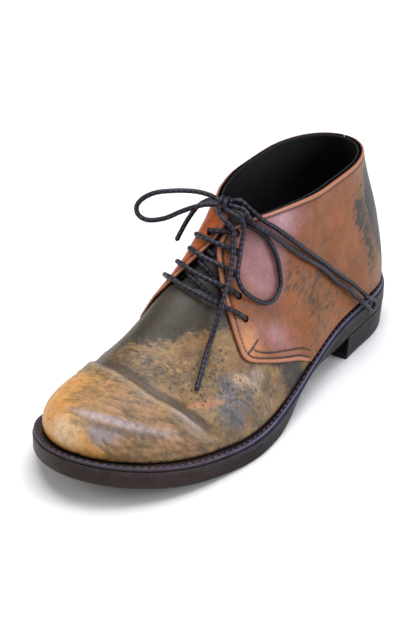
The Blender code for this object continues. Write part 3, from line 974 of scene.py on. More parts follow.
@dataclass(frozen=True)
class Leather:
    """Waxed, patinated leather: a ground, washes over it, marks, grain and wear."""

    name: str
    ground: Colour
    second: Colour
    washes: tuple[Wash, ...] = ()
    dashes: Colour = srgb(52, 50, 50)
    dash_turn: tuple[float, float, float] = (0.0, 0.0, 0.0)
    dash_size: tuple[float, float] = (1.2, 5.0)
    specks: Colour = srgb(46, 42, 40)
    band: Colour | None = None
    # painted shadow along the very edge
    rim: Colour = srgb(60, 34, 26)
    seam: Colour = srgb(42, 26, 22)
    clouds: tuple[Colour, Colour] = (srgb(78, 78, 82), srgb(178, 174, 166))
    # painted shade in the troughs, and a painted highlight on the crowns
    recess_shade: Colour = srgb(50, 42, 34)
    ridge: Colour = srgb(206, 176, 142)
    roughness: float = 0.46
    coat: float = 0.03
    mottle: float = 0.35
    cloud: float = 7.5
    follows: bool = False

    def material(self) -> Finish:
        """Builds the finish.

        Returns:
            The material.
        """
        g = Graph(self.name, ior=1.34, coat_weight=self.coat, coat_roughness=0.3)
        broad = g.noise(26.0, detail=4, rough=0.6, warp=0.6)
        fine = g.noise(2.6, detail=5, rough=0.7, warp=0.3)
        colour = g.over(self.ground, self.second, broad, 0.36, 0.66)
        for number, wash in enumerate(self.washes, 1):
            drawn = self.drawn(g, wash.wave, wash.stretch, number)
            part = g.sway(drawn, wash.ragged, g.value(wash.mask))
            colour = g.over(colour, wash.colour, part, wash.low, wash.high, 0.0, wash.strength)
        colour = g.blend(self.mottle, colour, self.tint(g, fine), "OVERLAY")
        colour = self.marks(g, colour)
        if self.band is not None:
            edge = g.value("edge")
            colour = g.over(colour, self.band, g.sway(fine, 0.8, edge), 1.9, 3.1, 0.7, 0.0)
            # painted shadow: a dark line along the very edge of the leather
            colour = g.over(colour, self.rim, edge, 0.0, 0.6, 0.75, 0.0)
        # dark stitch grooves; on the vamp and the quarters the same mask also holds painted shade
        # along the foot, by the welt
        colour = g.over(colour, self.seam, "groove", 0.1, 0.9, 0.0, 0.8)
        # painted shade in the troughs of the creases
        colour = g.over(colour, self.recess_shade, "trough", 0.12, 1.0, 0.0, 0.75)
        # painted highlight on the crowns of folds and swellings
        colour = g.over(colour, self.ridge, "crown", 0.15, 1.0, 0.0, 0.45)
        dull = g.calc("ADD", g.sway(fine, 0.35, self.roughness),
                      g.ease(broad, 0.3, 0.7, -0.05, 0.06))
        grain = g.bump(g.noise(0.9, detail=3, rough=0.6), 0.10)
        grain = g.bump(g.ease(g.cells(0.85).outputs["Distance"], 0.05, 0.5), 0.05, grain)
        grain = g.bump(g.noise(4.5, detail=4, rough=0.6, warp=0.5), 0.22, grain)
        return g.finish(colour, dull, grain)

    def drawn(self, g: Graph, wave: float, stretch: float, seed: int) -> Socket:
        """Ragged noise, drawn out along the strokes' direction by a factor.

        Args:
            g: the finish's node tree.
            wave: size of the noise's features, in millimetres.
            stretch: the factor.
            seed: number that moves the pattern.

        Returns:
            The noise.
        """
        vector = g.uv() if self.follows and stretch > 1 else g.point
        placed = g.turned(vector, self.dash_turn, (1.0, 1 / stretch, 1.0), 0.037 * seed)
        return g.noise(wave, placed, detail=5, rough=0.68, warp=0.5 / stretch)

    def tint(self, g: Graph, fine: Socket) -> Socket:
        """Light and dark cloudiness of the dye.

        Args:
            g: the finish's node tree.
            fine: fine noise.

        Returns:
            The cloudy colour, to lay over the dye.
        """
        cloud = g.noise(self.cloud, detail=5, rough=0.7, warp=0.5)
        dark, light = self.clouds
        return g.over(dark, light, g.sway(fine, 0.9, cloud), 0.28, 0.72)

    def marks(self, g: Graph, colour: Socket) -> Socket:
        """Short dark dashes and small specks, where the piece asks for them.

        Args:
            g: the finish's node tree.
            colour: the leather without marks.

        Returns:
            The colour with its marks.
        """
        narrow, long_ = self.dash_size
        vector = g.uv() if self.follows else g.point
        lined = g.turned(vector, self.dash_turn, (1.0, narrow / long_, 1.0))
        stroke = g.noise(narrow * 1.7, lined, detail=2.5, rough=0.6, warp=0.25)
        patchy = g.noise(8.0, detail=3, rough=0.6)
        need = g.sway(patchy, -0.22, g.calc("MULTIPLY_ADD", g.value("hatch"), -0.26, 0.74))
        part = g.ease(g.calc("SUBTRACT", stroke, need), -0.02, 0.15, 0.0, 0.72)
        part = g.calc("MULTIPLY", part, g.ease(g.value("hatch"), 0.03, 0.25))
        colour = g.blend(part, colour, self.dashes)
        for size, chance in ((2.6, 0.5), (1.5, 0.35)):
            dots = g.cells(size)
            draw = g.node("ShaderNodeSeparateColor")
            g.link(dots.outputs["Color"], draw.inputs["Color"])
            some = g.calc("LESS_THAN", draw.outputs["Red"],
                          g.calc("MULTIPLY", g.value("speck"), chance))
            reach = g.calc("MULTIPLY_ADD", draw.outputs["Green"], 0.22, 0.16)
            near = g.calc("SUBTRACT", reach, dots.outputs["Distance"])
            dot = g.calc("MULTIPLY", g.ease(near, -0.04, 0.10, 0.0, 0.8), some)
            colour = g.blend(dot, colour, self.specks)
        return colour


@dataclass(frozen=True)
class SoleEdge:
    """Waxed edge of the layered sole, welt or heel: fine lines along it, a painted lilac highlight.
    """

    name: str
    ground: Colour
    light: Colour
    roughness: float = 0.44
    line: float = 1.1
    scuffed: Colour = srgb(46, 34, 33)
    dusty: Colour = srgb(60, 48, 44)
    lilac_highlight: Colour = srgb(108, 103, 132)

    def material(self) -> Finish:
        """Builds the finish.

        Returns:
            The material.
        """
        g = Graph(self.name, ior=1.20)
        along = g.turned(g.point, (0, 0, 0), (0.06, 0.06, 1.0))
        lines = g.noise(self.line, along, detail=3, rough=0.7)
        scuff = g.noise(6.0, detail=5, rough=0.7, warp=0.5)
        fine = g.noise(1.2, detail=3, rough=0.7)
        colour = g.over(self.ground, self.light, lines, 0.38, 0.66)
        colour = g.over(colour, self.scuffed, scuff, 0.52, 0.74, 0.0, 0.4)
        dust = g.calc("MULTIPLY", g.value("dust"), g.ease(scuff, 0.2, 0.7, 0.35, 0.8))
        colour = g.blend(dust, colour, self.dusty)
        # painted lilac highlight along the edges that catch the light
        worn = g.calc("MULTIPLY", g.value("worn"), g.ease(scuff, 0.25, 0.6, 0.45, 1.0))
        return g.finish(g.blend(worn, colour, self.lilac_highlight), g.sway(fine, 0.5, self.roughness),
                        g.bump(fine, 0.07, g.bump(lines, 0.05)))


@dataclass(frozen=True)
class Plain:
    """Quiet finish for lining, thread and tread: two near colours, a grain and a relief."""

    name: str
    first: Colour
    second: Colour
    roughness: float = 0.6
    grain: float = 1.0
    depth: float = 0.1

    def material(self) -> Finish:
        """Builds the finish.

        Returns:
            The material.
        """
        g = Graph(self.name, ior=1.36)
        cloud = g.noise(self.grain * 7, detail=5, rough=0.65, warp=0.4)
        fine = g.noise(self.grain, detail=4, rough=0.6)
        return g.finish(g.over(self.first, self.second, g.sway(fine, 0.7, cloud), 0.32, 0.68),
                        g.sway(fine, 0.4, self.roughness),
                        g.bump(fine, self.depth, g.bump(cloud, self.depth * 2)))


@dataclass(frozen=True)
class Braid:
    """Waxed round braid: dark indigo strands, painted shade between them, rubbed crowns with a
    painted highlight.
    """

    name: str = "lace_braid"
    recess_shade: Colour = srgb(6, 5, 9)
    strand: Colour = srgb(30, 26, 40)
    rub_highlight: Colour = srgb(100, 98, 130)
    roughness: float = 0.42

    def material(self) -> Finish:
        """Builds the finish.

        Returns:
            The material.
        """
        g = Graph(self.name, ior=1.38)
        crown = g.value("crown")
        fine = g.noise(0.55, detail=3, rough=0.7)
        patch = g.noise(14.0, detail=3, rough=0.6)
        # painted shade between the strands
        colour = g.over(self.recess_shade, self.strand, crown, 0.22, 0.66)
        # crowns rubbed lighter in patches, with a painted highlight
        rub_highlight_part = g.calc("MULTIPLY", g.ease(crown, 0.60, 1.0), g.ease(patch, 0.38, 0.62, 0.15, 0.75))
        colour = g.blend(rub_highlight_part, colour, self.rub_highlight)
        colour = g.over(colour, self.recess_shade, fine, 0.3, 0.75, 0.35, 0.0)
        fibres = g.turned(g.uv(), (0, 0, 35), (1.0, 0.15, 1.0))
        return g.finish(colour, self.roughness, g.bump(g.noise(0.35, fibres, detail=2), 0.06))


# ================================================================================== the bottom
@dataclass
class Bottom:
    """Outsole, heel, welt and insole, with the welt's stitches."""

    shop: Workshop
    points: int = 460
    welt_inner: float = -2.4
    insole: float = 3.6
    stitch: float = 4.4
    bead: tuple[float, float, float] = (0.66, 0.42, 0.32)
    bevel: float = 5.0

    @staticmethod
    def capped(row: Callable[..., Array], profile: Sequence[Place]) -> list[Array]:
        """Rows at a profile's places, closed at both its ends along their middle."""
        return [row(*profile[0], True), *[row(*place) for place in profile],
                row(*profile[-1], True)]

    def band(self, name: str, rows: Sequence[Array], worn: Sequence[float],
             fill: bool = False) -> Sheet:
        """Closed band of rows round the sole, with its painted highlight and dust painted on.

        Args:
            name: the sheet's name.
            rows: the rows' points, in millimetres.
            worn: how much painted highlight each row has.
            fill: whether open rims are closed.

        Returns:
            The closed sheet.
        """
        blank = np.zeros((len(rows), len(rows[0])))
        sheet = Sheet(name, blank, blank)
        places = np.array(rows)[sheet.row, sheet.column]
        sheet.shape(self.shop.metres(places))
        front = smooth_step((-30 - places[:, 1]) / 90)
        # each row's painted highlight, weaker towards the toe
        sheet.paint("worn", np.asarray(worn)[sheet.row] * (1 - 0.6 * front))
        sheet.paint("dust", front)
        sheet.close(fill)
        return sheet

    def trodden(self, sheet: Sheet, node: str, *materials: Finish) -> None:
        """Piece whose faces that look down have the second finish.

        Args:
            sheet: the piece's sheet.
            node: the CAD node that it replaces, and its slot.
            materials: the finish of its sides, then of what looks down.
        """
        piece = self.shop.add(sheet.mesh.name, sheet.mesh, *materials, node=node, slot=node)
        if node == "heel":
            piece.data.set_sharp_from_angle(angle=math.radians(40))
        for face in piece.data.polygons:
            if face.normal.z < DOWNWARD:
                face.material_index = 1

    def outsole(self, edge: Finish, tread: Finish) -> None:
        """Layered sole: fine grooves, eased edges, bevelled inwards under the waist.

        Args:
            edge: finish of the sides.
            tread: finish of the underside.
        """
        v = np.linspace(-1, 1, self.points + 1)
        thick = LAST.sole
        profile = [(-9.0, 0.0), (-1.6, 0.0), (-0.8, 0.15), (-0.25, 0.6), (0.0, 1.3)]
        for rise in (3.0, 5.0, 7.2):
            profile += [(0.0, rise - 0.35), (-0.10, rise), (0.0, rise + 0.35)]
        profile += [(0.0, thick - 1.0), (-0.2, thick - 0.35), (-0.6, thick), (-3.0, thick),
                    (-9.0, thick)]
        at = (LAST.length / 2 - LAST.point(0.0, v)[:, 1]) / LAST.length
        waist = smooth_step((at - 0.29) / 0.12) * smooth_step((0.60 - at) / 0.16)

        def row(grow: float, rise: float, middle: bool = False) -> Array:
            """Row of points at one place of the profile."""
            inwards = 0 if middle else self.bevel * waist * (1 - rise / thick)
            return LAST.row(v, 1, grow - inwards, rise, middle)

        # painted highlight along the sole's top edge
        worn = [0.0] + [0.0 if rise < thick - 1.1 else 0.15 for _, rise in profile] + [0.0]
        sheet = self.band("sole_layers", self.capped(row, profile), worn)
        self.trodden(sheet, "outsole", edge, tread)

    def heel(self, edge: Finish, tread: Finish) -> None:
        """Stacked lifts over a rubber top piece, breast straight across.

        Args:
            edge: finish of the sides.
            tread: finish of the underside.
        """
        start = math.acos(2 * LAST.breast - 1) / math.pi
        v = np.linspace(start, 2 - start, 181)
        top = LAST.heel_height - GAP
        profile = [(-2.4, 0.0), (-1.7, 0.25), (-1.4, 0.9), (-1.2, 4.6), (-1.5, 5.0),
                   (-1.1, 5.4)]
        for rise in (8.2, 11.0, 13.7):
            grow = -1.2 + rise / 20
            profile += [(grow, rise - 0.3), (grow - 0.06, rise), (grow, rise + 0.3)]
        profile += [(-0.4, top - 0.5), (-0.8, top)]

        def row(grow: float, z: float, middle: bool = False) -> Array:
            """Level row of points at one place of the profile."""
            return np.column_stack([LAST.outline(v, 1, grow, middle), np.full(len(v), z)])

        rows = self.capped(row, profile)
        # painted highlight low on the heel's side
        worn = [0.12 if 2 <= number <= 4 else 0.0 for number in range(len(rows))]
        self.trodden(self.band("heel_stack", rows, worn, fill=True), "heel", edge, tread)

    def welt(self, edge: Finish) -> None:
        """Band on the sole's edge, with a stitching channel along its top.

        Args:
            edge: the welt's finish.
        """
        v = np.linspace(-1, 1, self.points + 1)
        low, high = LAST.sole + GAP, LAST.sole + LAST.welt
        section = [(0, self.welt_inner, low), (1, -1.2, low), (1, -0.75, low + 0.2),
                   (1, -0.6, low + 0.8), (1, -0.75, high - 0.5), (1, -1.1, high - 0.1),
                   (1, -1.6, high), (1, -2.2, high - 0.25), (1, -2.7, high - 0.3),
                   (1, -3.2, high - 0.2), (0, self.welt_inner, high), (0, self.welt_inner, low)]
        rows = [LAST.row(v, *place) for place in section]
        # painted highlight on the welt's rounded outer top edge
        worn = [0, 0, 0, 0.05, 0.55, 1.0, 0.1, 0, 0, 0, 0, 0]
        sheet = self.band("welt_band", rows, worn)
        self.shop.add("welt_band", sheet.mesh, edge, node="welt", slot="welt")

    def stitches(self, thread: Finish) -> None:
        """Row of pale stitches sunk in the welt's channel.

        Args:
            thread: the thread's finish.
        """
        v = np.linspace(-0.995, 0.995, 1200)
        path = LAST.row(v, 1, -2.45, LAST.sole + LAST.welt - 0.05)
        sew("welt_stitches", self.shop, path, self.stitch, self.bead, thread, "welt",
            (0.0, 0.0, 1.0))

    def sock(self, cover: Finish) -> None:
        """Insole with its dark cover.

        Args:
            cover: the cover's finish.
        """
        v = np.linspace(-1, 1, self.points // 2 + 1)
        low, edge = LAST.sole + GAP, self.welt_inner - GAP
        profile = [(edge, low), (edge, low + 1.4), (edge - 0.4, low + 2.8),
                   (edge - 1.4, low + self.insole), (edge - 12.0, low + self.insole - 0.3)]
        rows = self.capped(lambda *place: LAST.row(v, 0, *place), profile)
        sheet = self.band("insole_cover", rows, [0.0] * len(rows))
        self.shop.add("insole_cover", sheet.mesh, cover, node="insole", slot="insole")


def sew(name: str, shop: Workshop, path: Array, pitch: float, bead: Sequence[float],
        thread: Finish, slot: str, up: Array | tuple[float, float, float]) -> None:
    """Row of stitches along a line: one small rounded bead for each, joined in one mesh.

    Args:
        name: the piece's name.
        shop: the workshop.
        path: the line, in millimetres.
        pitch: length of a stitch with the gap after it.
        bead: a stitch's share of the pitch, half its width and half its thickness.
        thread: the thread's finish.
        slot: the record's material slot.
        up: outward direction at each point of the line, or one for all.
    """
    share, width, thick = bead
    points = spaced(path, pitch)
    ups = np.broadcast_to(np.asarray(up, float), path.shape)
    shape = bmesh.new()
    for first, second in zip(points, points[1:]):
        middle = (first + second) / 2
        forward = Vector(second - first)
        size = forward.length / 2 * share
        near = int(np.argmin(np.linalg.norm(path - middle, axis=1)))
        z = Vector(ups[near]).normalized()
        x = forward.normalized()
        y = z.cross(x).normalized()
        turn = Matrix((x, y, x.cross(y))).transposed().to_4x4()
        size_m = Matrix.Diagonal((size * MM, width * MM, thick * MM, 1.0))
        place = Matrix.Translation(Vector(shop.metres(middle))) @ turn @ size_m
        bmesh.ops.create_uvsphere(shape, u_segments=8, v_segments=5, radius=1.0,
                                  matrix=place @ Matrix.Rotation(math.pi / 2, 4, "Y"))
    shop.add(name, meshed(shape, name), thread, slot=slot)


# ================================================================================== the upper
@dataclass(frozen=True)
class Crease:
    """Fold in the leather: a trough along a line on the last, with banks beside it.

    A lean above 1 draws the side away from the toe out into a gentle slope.
    """

    line: tuple[Place, ...]
    depth: float
    width: float
    toe_bank: float = 0.0
    back_bank: float = 0.0
    fade: float = 12.0
    lean: float = 1.0

    def relief(self, skin: Skin) -> tuple[Array, Array, Array]:
        """Relief at each vertex, and how far it lies in the trough and on a bank.

        Args:
            skin: the leather that it is in.

        Returns:
            The relief in millimetres, the share of trough, and that of bank.
        """
        side, along = skin.beside(self.line)
        width = self.width
        ends = smooth_step(along / self.fade) * smooth_step((along.max() - along) / self.fade)
        trough = hump(side, 0, width) * ends
        dip = hump(side, 0, np.where(side < 0, self.lean, 1.0) * width) * ends
        toe, back = (hump(side, place * width, reach * width) * ends
                     for place, reach in (TOE_BANK, BACK_BANK))
        return (self.toe_bank * toe + self.back_bank * back - self.depth * dip, trough,
                toe * min(1.0, self.toe_bank) + 0.4 * back * min(1.0, self.back_bank))


# Where a crease's banks lie and how far they reach, in its widths.
TOE_BANK, BACK_BANK = (2.1, 1.2), (-2.2, 1.3)
MAIN_FOLD = ((0.060, -0.345), (0.140, -0.325), (0.240, -0.270), (0.310, -0.190),
             (0.352, -0.110), (0.372, -0.010), (0.356, 0.061), (0.322, 0.119), (0.278, 0.172),
             (0.239, 0.214), (0.183, 0.256), (0.117, 0.292), (0.061, 0.317), (0.028, 0.336))

CREASES = (
    Crease(MAIN_FOLD, 1.0, 1.7, toe_bank=0.7, fade=18.0, lean=2.2),
    Crease(((0.262, 0.176), (0.224, 0.208), (0.168, 0.246), (0.118, 0.276), (0.066, 0.301),
            (0.034, 0.320)), 0.45, 1.5, toe_bank=0.5, fade=14.0),
    Crease(((0.160, 0.010), (0.150, 0.070), (0.138, 0.125), (0.120, 0.170), (0.098, 0.215),
            (0.080, 0.240)), 0.55, 3.2, toe_bank=0.25, back_bank=0.35, fade=14.0),
    Crease(((0.306, -0.095), (0.316, -0.060), (0.322, -0.020)), 0.35, 0.9, fade=6.0),
    Crease(((0.333, 0.005), (0.342, 0.040), (0.340, 0.078)), 0.3, 0.9, fade=6.0),
    Crease(((0.274, 0.010), (0.264, 0.060), (0.262, 0.100), (0.256, 0.140)), 0.4, 0.9, 0.2,
           fade=8.0),
    Crease(((0.262, 0.034), (0.240, 0.090), (0.222, 0.140), (0.200, 0.190)), 0.45, 0.9, 0.25,
           fade=8.0),
    Crease(((0.212, 0.030), (0.208, 0.080), (0.198, 0.130), (0.180, 0.165)), 0.4, 1.0, 0.2,
           fade=8.0),
    Crease(((0.258, 0.115), (0.254, 0.155), (0.233, 0.190)), 0.35, 0.8, 0.2, fade=6.0),
    Crease(((0.236, 0.098), (0.206, 0.150), (0.178, 0.192)), 0.35, 0.8, 0.2, fade=6.0),
    Crease(((0.300, 0.020), (0.296, 0.070), (0.282, 0.118)), 0.3, 0.8, 0.15, fade=6.0),
    Crease(((0.240, -0.060), (0.250, -0.020), (0.246, 0.020)), 0.3, 0.9, 0.15, fade=6.0),
    Crease(((0.072, 0.088), (0.068, 0.144), (0.070, 0.200), (0.050, 0.242)), 0.4, 1.6, 0.15,
           fade=9.0),
    Crease(((0.040, 0.200), (0.030, 0.262), (0.014, 0.310)), 0.3, 1.3, 0.1, fade=8.0),
    Crease(((0.402, 0.070), (0.372, 0.140), (0.322, 0.205), (0.262, 0.262)), 0.35, 2.4, 0.1,
           0.2, fade=12.0),
    Crease(((0.420, -0.120), (0.430, -0.040), (0.420, 0.040)), 0.3, 2.6, 0.1, 0.15, fade=10.0),
    Crease(((0.250, 0.330), (0.200, 0.360), (0.130, 0.385), (0.070, 0.400)), 0.35, 2.2, 0.15,
           fade=10.0),
    Crease(((0.222, -0.158), (0.233, -0.139), (0.244, -0.122)), 0.7, 0.7, fade=2.5),
    Crease(((0.210, -0.120), (0.170, -0.175), (0.120, -0.220)), 0.3, 1.2, 0.15, fade=8.0),
    Crease(((0.270, -0.160), (0.210, -0.225), (0.140, -0.270)), 0.4, 1.4, 0.2, fade=8.0),
)


@dataclass(frozen=True)
class EyeletRow:
    """One row of eyelets: a hole in each facing, and how high the lace rides between them."""

    lateral: Place
    medial: Place
    bridge: float

    def place(self, side: Side) -> Place:
        """Height and way round of the hole on one side."""
        h, v = self.lateral if side is Side.LATERAL else self.medial
        return h, side.value * v


EYELETS = (
    EyeletRow((0.530, 0.292), (0.645, 0.205), 2.8),
    EyeletRow((0.630, 0.250), (0.735, 0.155), 2.6),
    EyeletRow((0.735, 0.205), (0.815, 0.115), 3.4),
    EyeletRow((0.840, 0.165), (0.870, 0.135), 4.0),
    EyeletRow((0.935, 0.125), (0.925, 0.040), 4.0),
)


# Height at which the throat's dye begins, at ways round the vamp.
THROAT_LINE = ((-0.30, 0.330), (-0.144, 0.389), (-0.064, 0.450), (0.044, 0.472),
               (0.111, 0.494), (0.156, 0.517), (0.25, 0.522), (0.34, 0.46))
# Way round at which a quarter's navy begins, at heights.
NAVY_LINE = ((0.15, 0.815), (0.32, 0.780), (0.52, 0.742), (0.70, 0.716), (0.88, 0.728),
             (0.97, 0.775))


@dataclass
class Upper:
    """Vamp, lining, quarters, backstay and tongue."""

    shop: Workshop
    quarter_wall: float = 1.6
    backstay_wall: float = 1.9
    backstay_edge: float = 0.86
    backstay_top: float = 0.87
    upper_wall: float = 2.2
    vamp_wall: float = 1.2
    tongue_wall: float = 2.0
    vamp_layers: Rows = ((0.28, 30.0, 3.0), (0.06, 7.0, 9.0))
    quarter_layers: Rows = ((0.45, 34.0, 21.0), (0.07, 8.0, 27.0))
    backstay_layers: Rows = ((0.3, 26.0, 41.0),)
    tongue_layers: Rows = ((0.35, 14.0, 61.0),)
    hole: float = 2.1
    punch_length: float = 12.0
    seam: float = 0.0012
    groove: float = 0.42
    groove_width: float = 0.75
    tuck: float = 0.06
    stitch: float = 2.3
    bead: tuple[float, float, float] = (0.78, 0.36, 0.28)

    @staticmethod
    def grid(rows: Array, low: Array, high: Array, columns: int) -> tuple[Array, Array]:
        """Heights and ways round of a grid between two edges, given for each of its rows.

        Args:
            rows: height of each row.
            low: way round of each row's first vertex.
            high: way round of its last one.
            columns: how many it has.

        Returns:
            Height and way round of each vertex.
        """
        part = np.linspace(0, 1, columns)
        return (np.repeat(rows[:, None], columns, axis=1),
                low[:, None] + (high - low)[:, None] * part[None, :])

    def relief(self, skin: Skin) -> tuple[Array, Array, Array]:
        """All the vamp's folds together, with fine wrinkles beside the main one.

        Args:
            skin: the vamp's leather.

        Returns:
            The relief in millimetres, the share of trough, and that of crown.
        """
        relief = uneven(skin.base, self.vamp_layers)
        trough, crown = np.zeros(len(skin.h)), np.zeros(len(skin.h))
        for crease in CREASES:
            depth, low, high = crease.relief(skin)
            relief += depth
            trough = np.maximum(trough, low * min(1.0, 0.35 + crease.depth * 0.55))
            crown = np.maximum(crown, high)
        side, along = skin.beside(MAIN_FOLD)
        warp = 2.6 * ripple(np.column_stack([along, side, along * 0]), 16.0, 5.0, 2)
        wave = np.sin((side + warp) * 2 * math.pi / 4.3)
        patchy = smooth_step(0.5 + 1.3 * ripple(np.column_stack([along, side * 2.2, side * 0]),
                                                13.0, 8.0, 2))
        reach = hump(side, 13, 11) + 0.45 * hump(side, -8, 7)
        fine = wave * patchy * reach
        relief += 0.20 * fine
        # the fine wrinkles' dips add to the painted shade, and their crests to the painted
        # highlight
        trough = np.clip(trough + 0.30 * np.clip(-fine, 0, 1), 0, 1)
        self.follow_fold(skin, along, side)
        return relief, trough, np.clip(crown + 0.15 * np.clip(fine, 0, 1), 0, 1)

    @staticmethod
    def follow_fold(skin: Skin, along: Array, side: Array) -> None:
        """The vamp's map of lengths and the shade behind its main fold follow that fold.

        Args:
            skin: the vamp's leather.
            along: run along the fold at each vertex, in millimetres.
            side: signed distance from the fold, in millimetres.
        """
        skin.unwrap(along, side)
        ends = smooth_step(along / 60) * smooth_step((along.max() - along) / 20)
        skin.paint("shade", hump(side, -2.2, 2.4) * ends)

    def vamp(self, leather: Finish, lining: Finish) -> None:
        """Creased front of the upper, running in under the quarters.

        Args:
            leather: finish of the outside.
            lining: finish of the inside.
        """
        part = np.linspace(0.0, 1.0, 104)
        rows = THROAT_TOP * part
        v = self.grid(rows, -quarter_edge(rows, -1) - self.tuck,
                      quarter_edge(rows) + self.tuck, 340)[1]
        skin = Skin("vamp", part[:, None] * throat_edge(v), v)
        relief, trough, crown = self.relief(skin)
        room = np.minimum(quarter_edge(skin.h) - skin.v, skin.v + quarter_edge(skin.h, -1))
        free = smooth_step(room / 0.05)
        foot = smooth_step(skin.h / 0.05)
        skin.lay(self.shop, np.where(free > 0, relief * free * foot, 0.0) - 0.15 * (1 - free))
        # painted shade in the creases and a painted highlight on their banks, where the vamp is not
        # covered
        skin.paint("trough", trough * free)
        skin.paint("crown", crown * free)
        # painted shade along the foot of the vamp, by the welt
        skin.paint("groove", hump(skin.h, 0, 0.012) * 0.7)
        throat_line = np.interp(skin.v, *np.transpose(THROAT_LINE))
        skin.paint("throat", np.clip(0.5 + (skin.h - throat_line) / 0.09, 0, 1))
        skin.dress(VAMP_SPOTS)
        # painted shadow at the foot of the vamp, by the welt
        skin.paint("grime", 0.75 * np.exp(-skin.h / 0.022))
        piece = self.shop.add("vamp", skin.mesh, leather, lining, node="upper", slot="upper")
        wall(piece, self.vamp_wall)

    def quarter(self, side: Side, leather: Finish, lining: Finish,
                spots: dict[str, Rows]) -> None:
        """Quarter with its facing: folded edges, grooves for the seams, punched eyelets.

        Args:
            side: the side that it is on.
            leather: finish of the outside.
            lining: finish of the inside.
            spots: the spots of each mask.
        """
        rows = np.linspace(0.01, 1.0, 96)
        part = np.concatenate([np.linspace(0, 1, 120), np.linspace(1, 2, 19)[1:]])
        h = np.repeat(rows[:, None], len(part), axis=1)
        start = quarter_edge(rows, side.value)[:, None]
        stop, back = self.backstay_edge - self.seam, 1 - self.seam
        v = np.where(part <= 1, start + (stop - start) * part, stop + (back - stop) * (part - 1))
        cell_h = (rows[:-1] + rows[1:]) / 2
        keep = (cell_h[:, None] > self.backstay_top) | (part[:-1][None, :] < 1)
        flip = slice(None, None, side.value)
        name = f"{side.name.lower()}_quarter"
        skin = Skin(name, collar(h, side.value * v)[:, flip], side.value * v[:, flip],
                    keep[:, flip])
        groove = np.zeros(len(skin.h))
        for line in seam_lines(side):
            places = LAST.point(line[:, 0], line[:, 1])
            apart = nearest(skin.base, places)[0]
            groove = np.maximum(groove, hump(apart, 0, self.groove_width))
        fold = rounded(skin.edge / 1.3)
        swell = 0.25 * hump(skin.edge, 1.7, 1.1)
        soft = uneven(skin.base, self.quarter_layers) * smooth_step(skin.edge / 10)
        height = GAP + self.quarter_wall * (0.42 + 0.58 * fold)
        skin.lay(self.shop, height + swell - self.groove * groove + soft)
        skin.paint("edge", skin.edge + 4 * smooth_step(1.6 - skin.h / 0.03))
        # dark stitch grooves, and painted shade along the foot by the welt
        skin.paint("groove", np.maximum(groove, 0.8 * hump(skin.h, 0, 0.022)))
        # painted highlight on the swelling behind the folded edge
        skin.paint("crown", np.clip(swell * 1.2, 0, 1))
        skin.dress(spots)
        start = np.interp(skin.h, *np.transpose(NAVY_LINE))
        skin.paint("navy", np.clip(0.5 + (np.abs(skin.v) - start) / 0.05, 0, 1))
        skin.unwrap(skin.base[:, 1], skin.base[:, 2])
        piece = self.shop.add(name, skin.mesh, leather, lining,
                              node=f"quarter_{side.name.lower()}", slot="quarter")
        wall(piece, self.quarter_wall * 0.4)
        self.punch(piece, side)

    def punch(self, piece: Piece, side: Side) -> None:
        """Cuts the round eyelets.

        Args:
            piece: the quarter.
            side: the side that it is on.
        """
        holes = bmesh.new()
        for row in EYELETS:
            h, v = row.place(side)
            inner, outer = LAST.off(h, v, -2.0), LAST.off(h, v, 2.0)
            turn = Vector(outer - inner).to_track_quat("Z", "Y").to_matrix().to_4x4()
            middle = Vector(self.shop.metres((inner + outer) / 2))
            bmesh.ops.create_cone(holes, cap_ends=True, segments=24, radius1=self.hole * MM,
                                  radius2=self.hole * MM, depth=self.punch_length * MM,
                                  matrix=Matrix.Translation(middle) @ turn)
        tool = put("punch", meshed(holes, "punch"))
        cut = piece.modifiers.new("eyelets", "BOOLEAN")
        cut.object, cut.operation, cut.solver = tool, "DIFFERENCE", "EXACT"
        settle(piece)
        bpy.data.objects.remove(tool)

    def lining(self, cover: Finish) -> None:
        """Inner wall from the insole to the collar, its top edge rolled outwards.

        Args:
            cover: the lining's finish.
        """
        rows = np.concatenate([np.linspace(0.0, 0.96, 48), np.linspace(0.965, 1.0, 7)])
        v = np.linspace(-1, 1, 261)
        h = np.repeat(rows[:, None], len(v), axis=1)
        columns = np.repeat(v[None, :], len(rows), axis=0)
        middle_h = (rows[:-1] + rows[1:]) / 2
        middle_v = (v[:-1] + v[1:])[None, :] / 2
        edges = [quarter_edge(middle_h, side.value)[:, None] + 0.004 for side in Side]
        keep = (middle_h[:, None] < throat_edge(middle_v) - 0.03) | (
            np.abs(middle_v) > np.where(middle_v * Side.LATERAL.value > 0, *edges))
        skin = Skin("lining", collar(h, columns), columns, keep)
        roll = 1 - rounded((1 - skin.h) * 95 / 1.2)
        skin.lay(self.shop, -self.vamp_wall - 0.1 + 0.5 * roll)
        skin.close()
        piece = self.shop.add("lining", skin.mesh, cover, node="upper", slot="insole")
        wall(piece, self.upper_wall - self.vamp_wall - 0.1, inner=0)

    def backstay(self, leather: Finish, lining: Finish) -> None:
        """Dark strip let in up the back of the heel.

        Args:
            leather: finish of the outside.
            lining: finish of the inside.
        """
        rows = np.linspace(0.01, self.backstay_top - 3 * self.seam, 84)
        start = np.full(len(rows), self.backstay_edge + self.seam)
        skin = Skin("back_strip", *self.grid(rows, start, 2 - start, 44))
        fold = rounded(skin.edge / 1.2)
        groove = hump(skin.edge, 2.4, 0.6)
        soft = uneven(skin.base, self.backstay_layers) * smooth_step(skin.edge / 8)
        skin.lay(self.shop, GAP + self.backstay_wall * (0.4 + 0.6 * fold) - 0.35 * groove + soft)
        skin.paint("groove", groove)
        skin.dress(BACKSTAY_SPOTS)
        skin.unwrap(skin.base[:, 0], skin.base[:, 2])
        piece = self.shop.add("back_strip", skin.mesh, leather, lining, node="backstay",
                              slot="backstay")
        wall(piece, self.backstay_wall * 0.4)

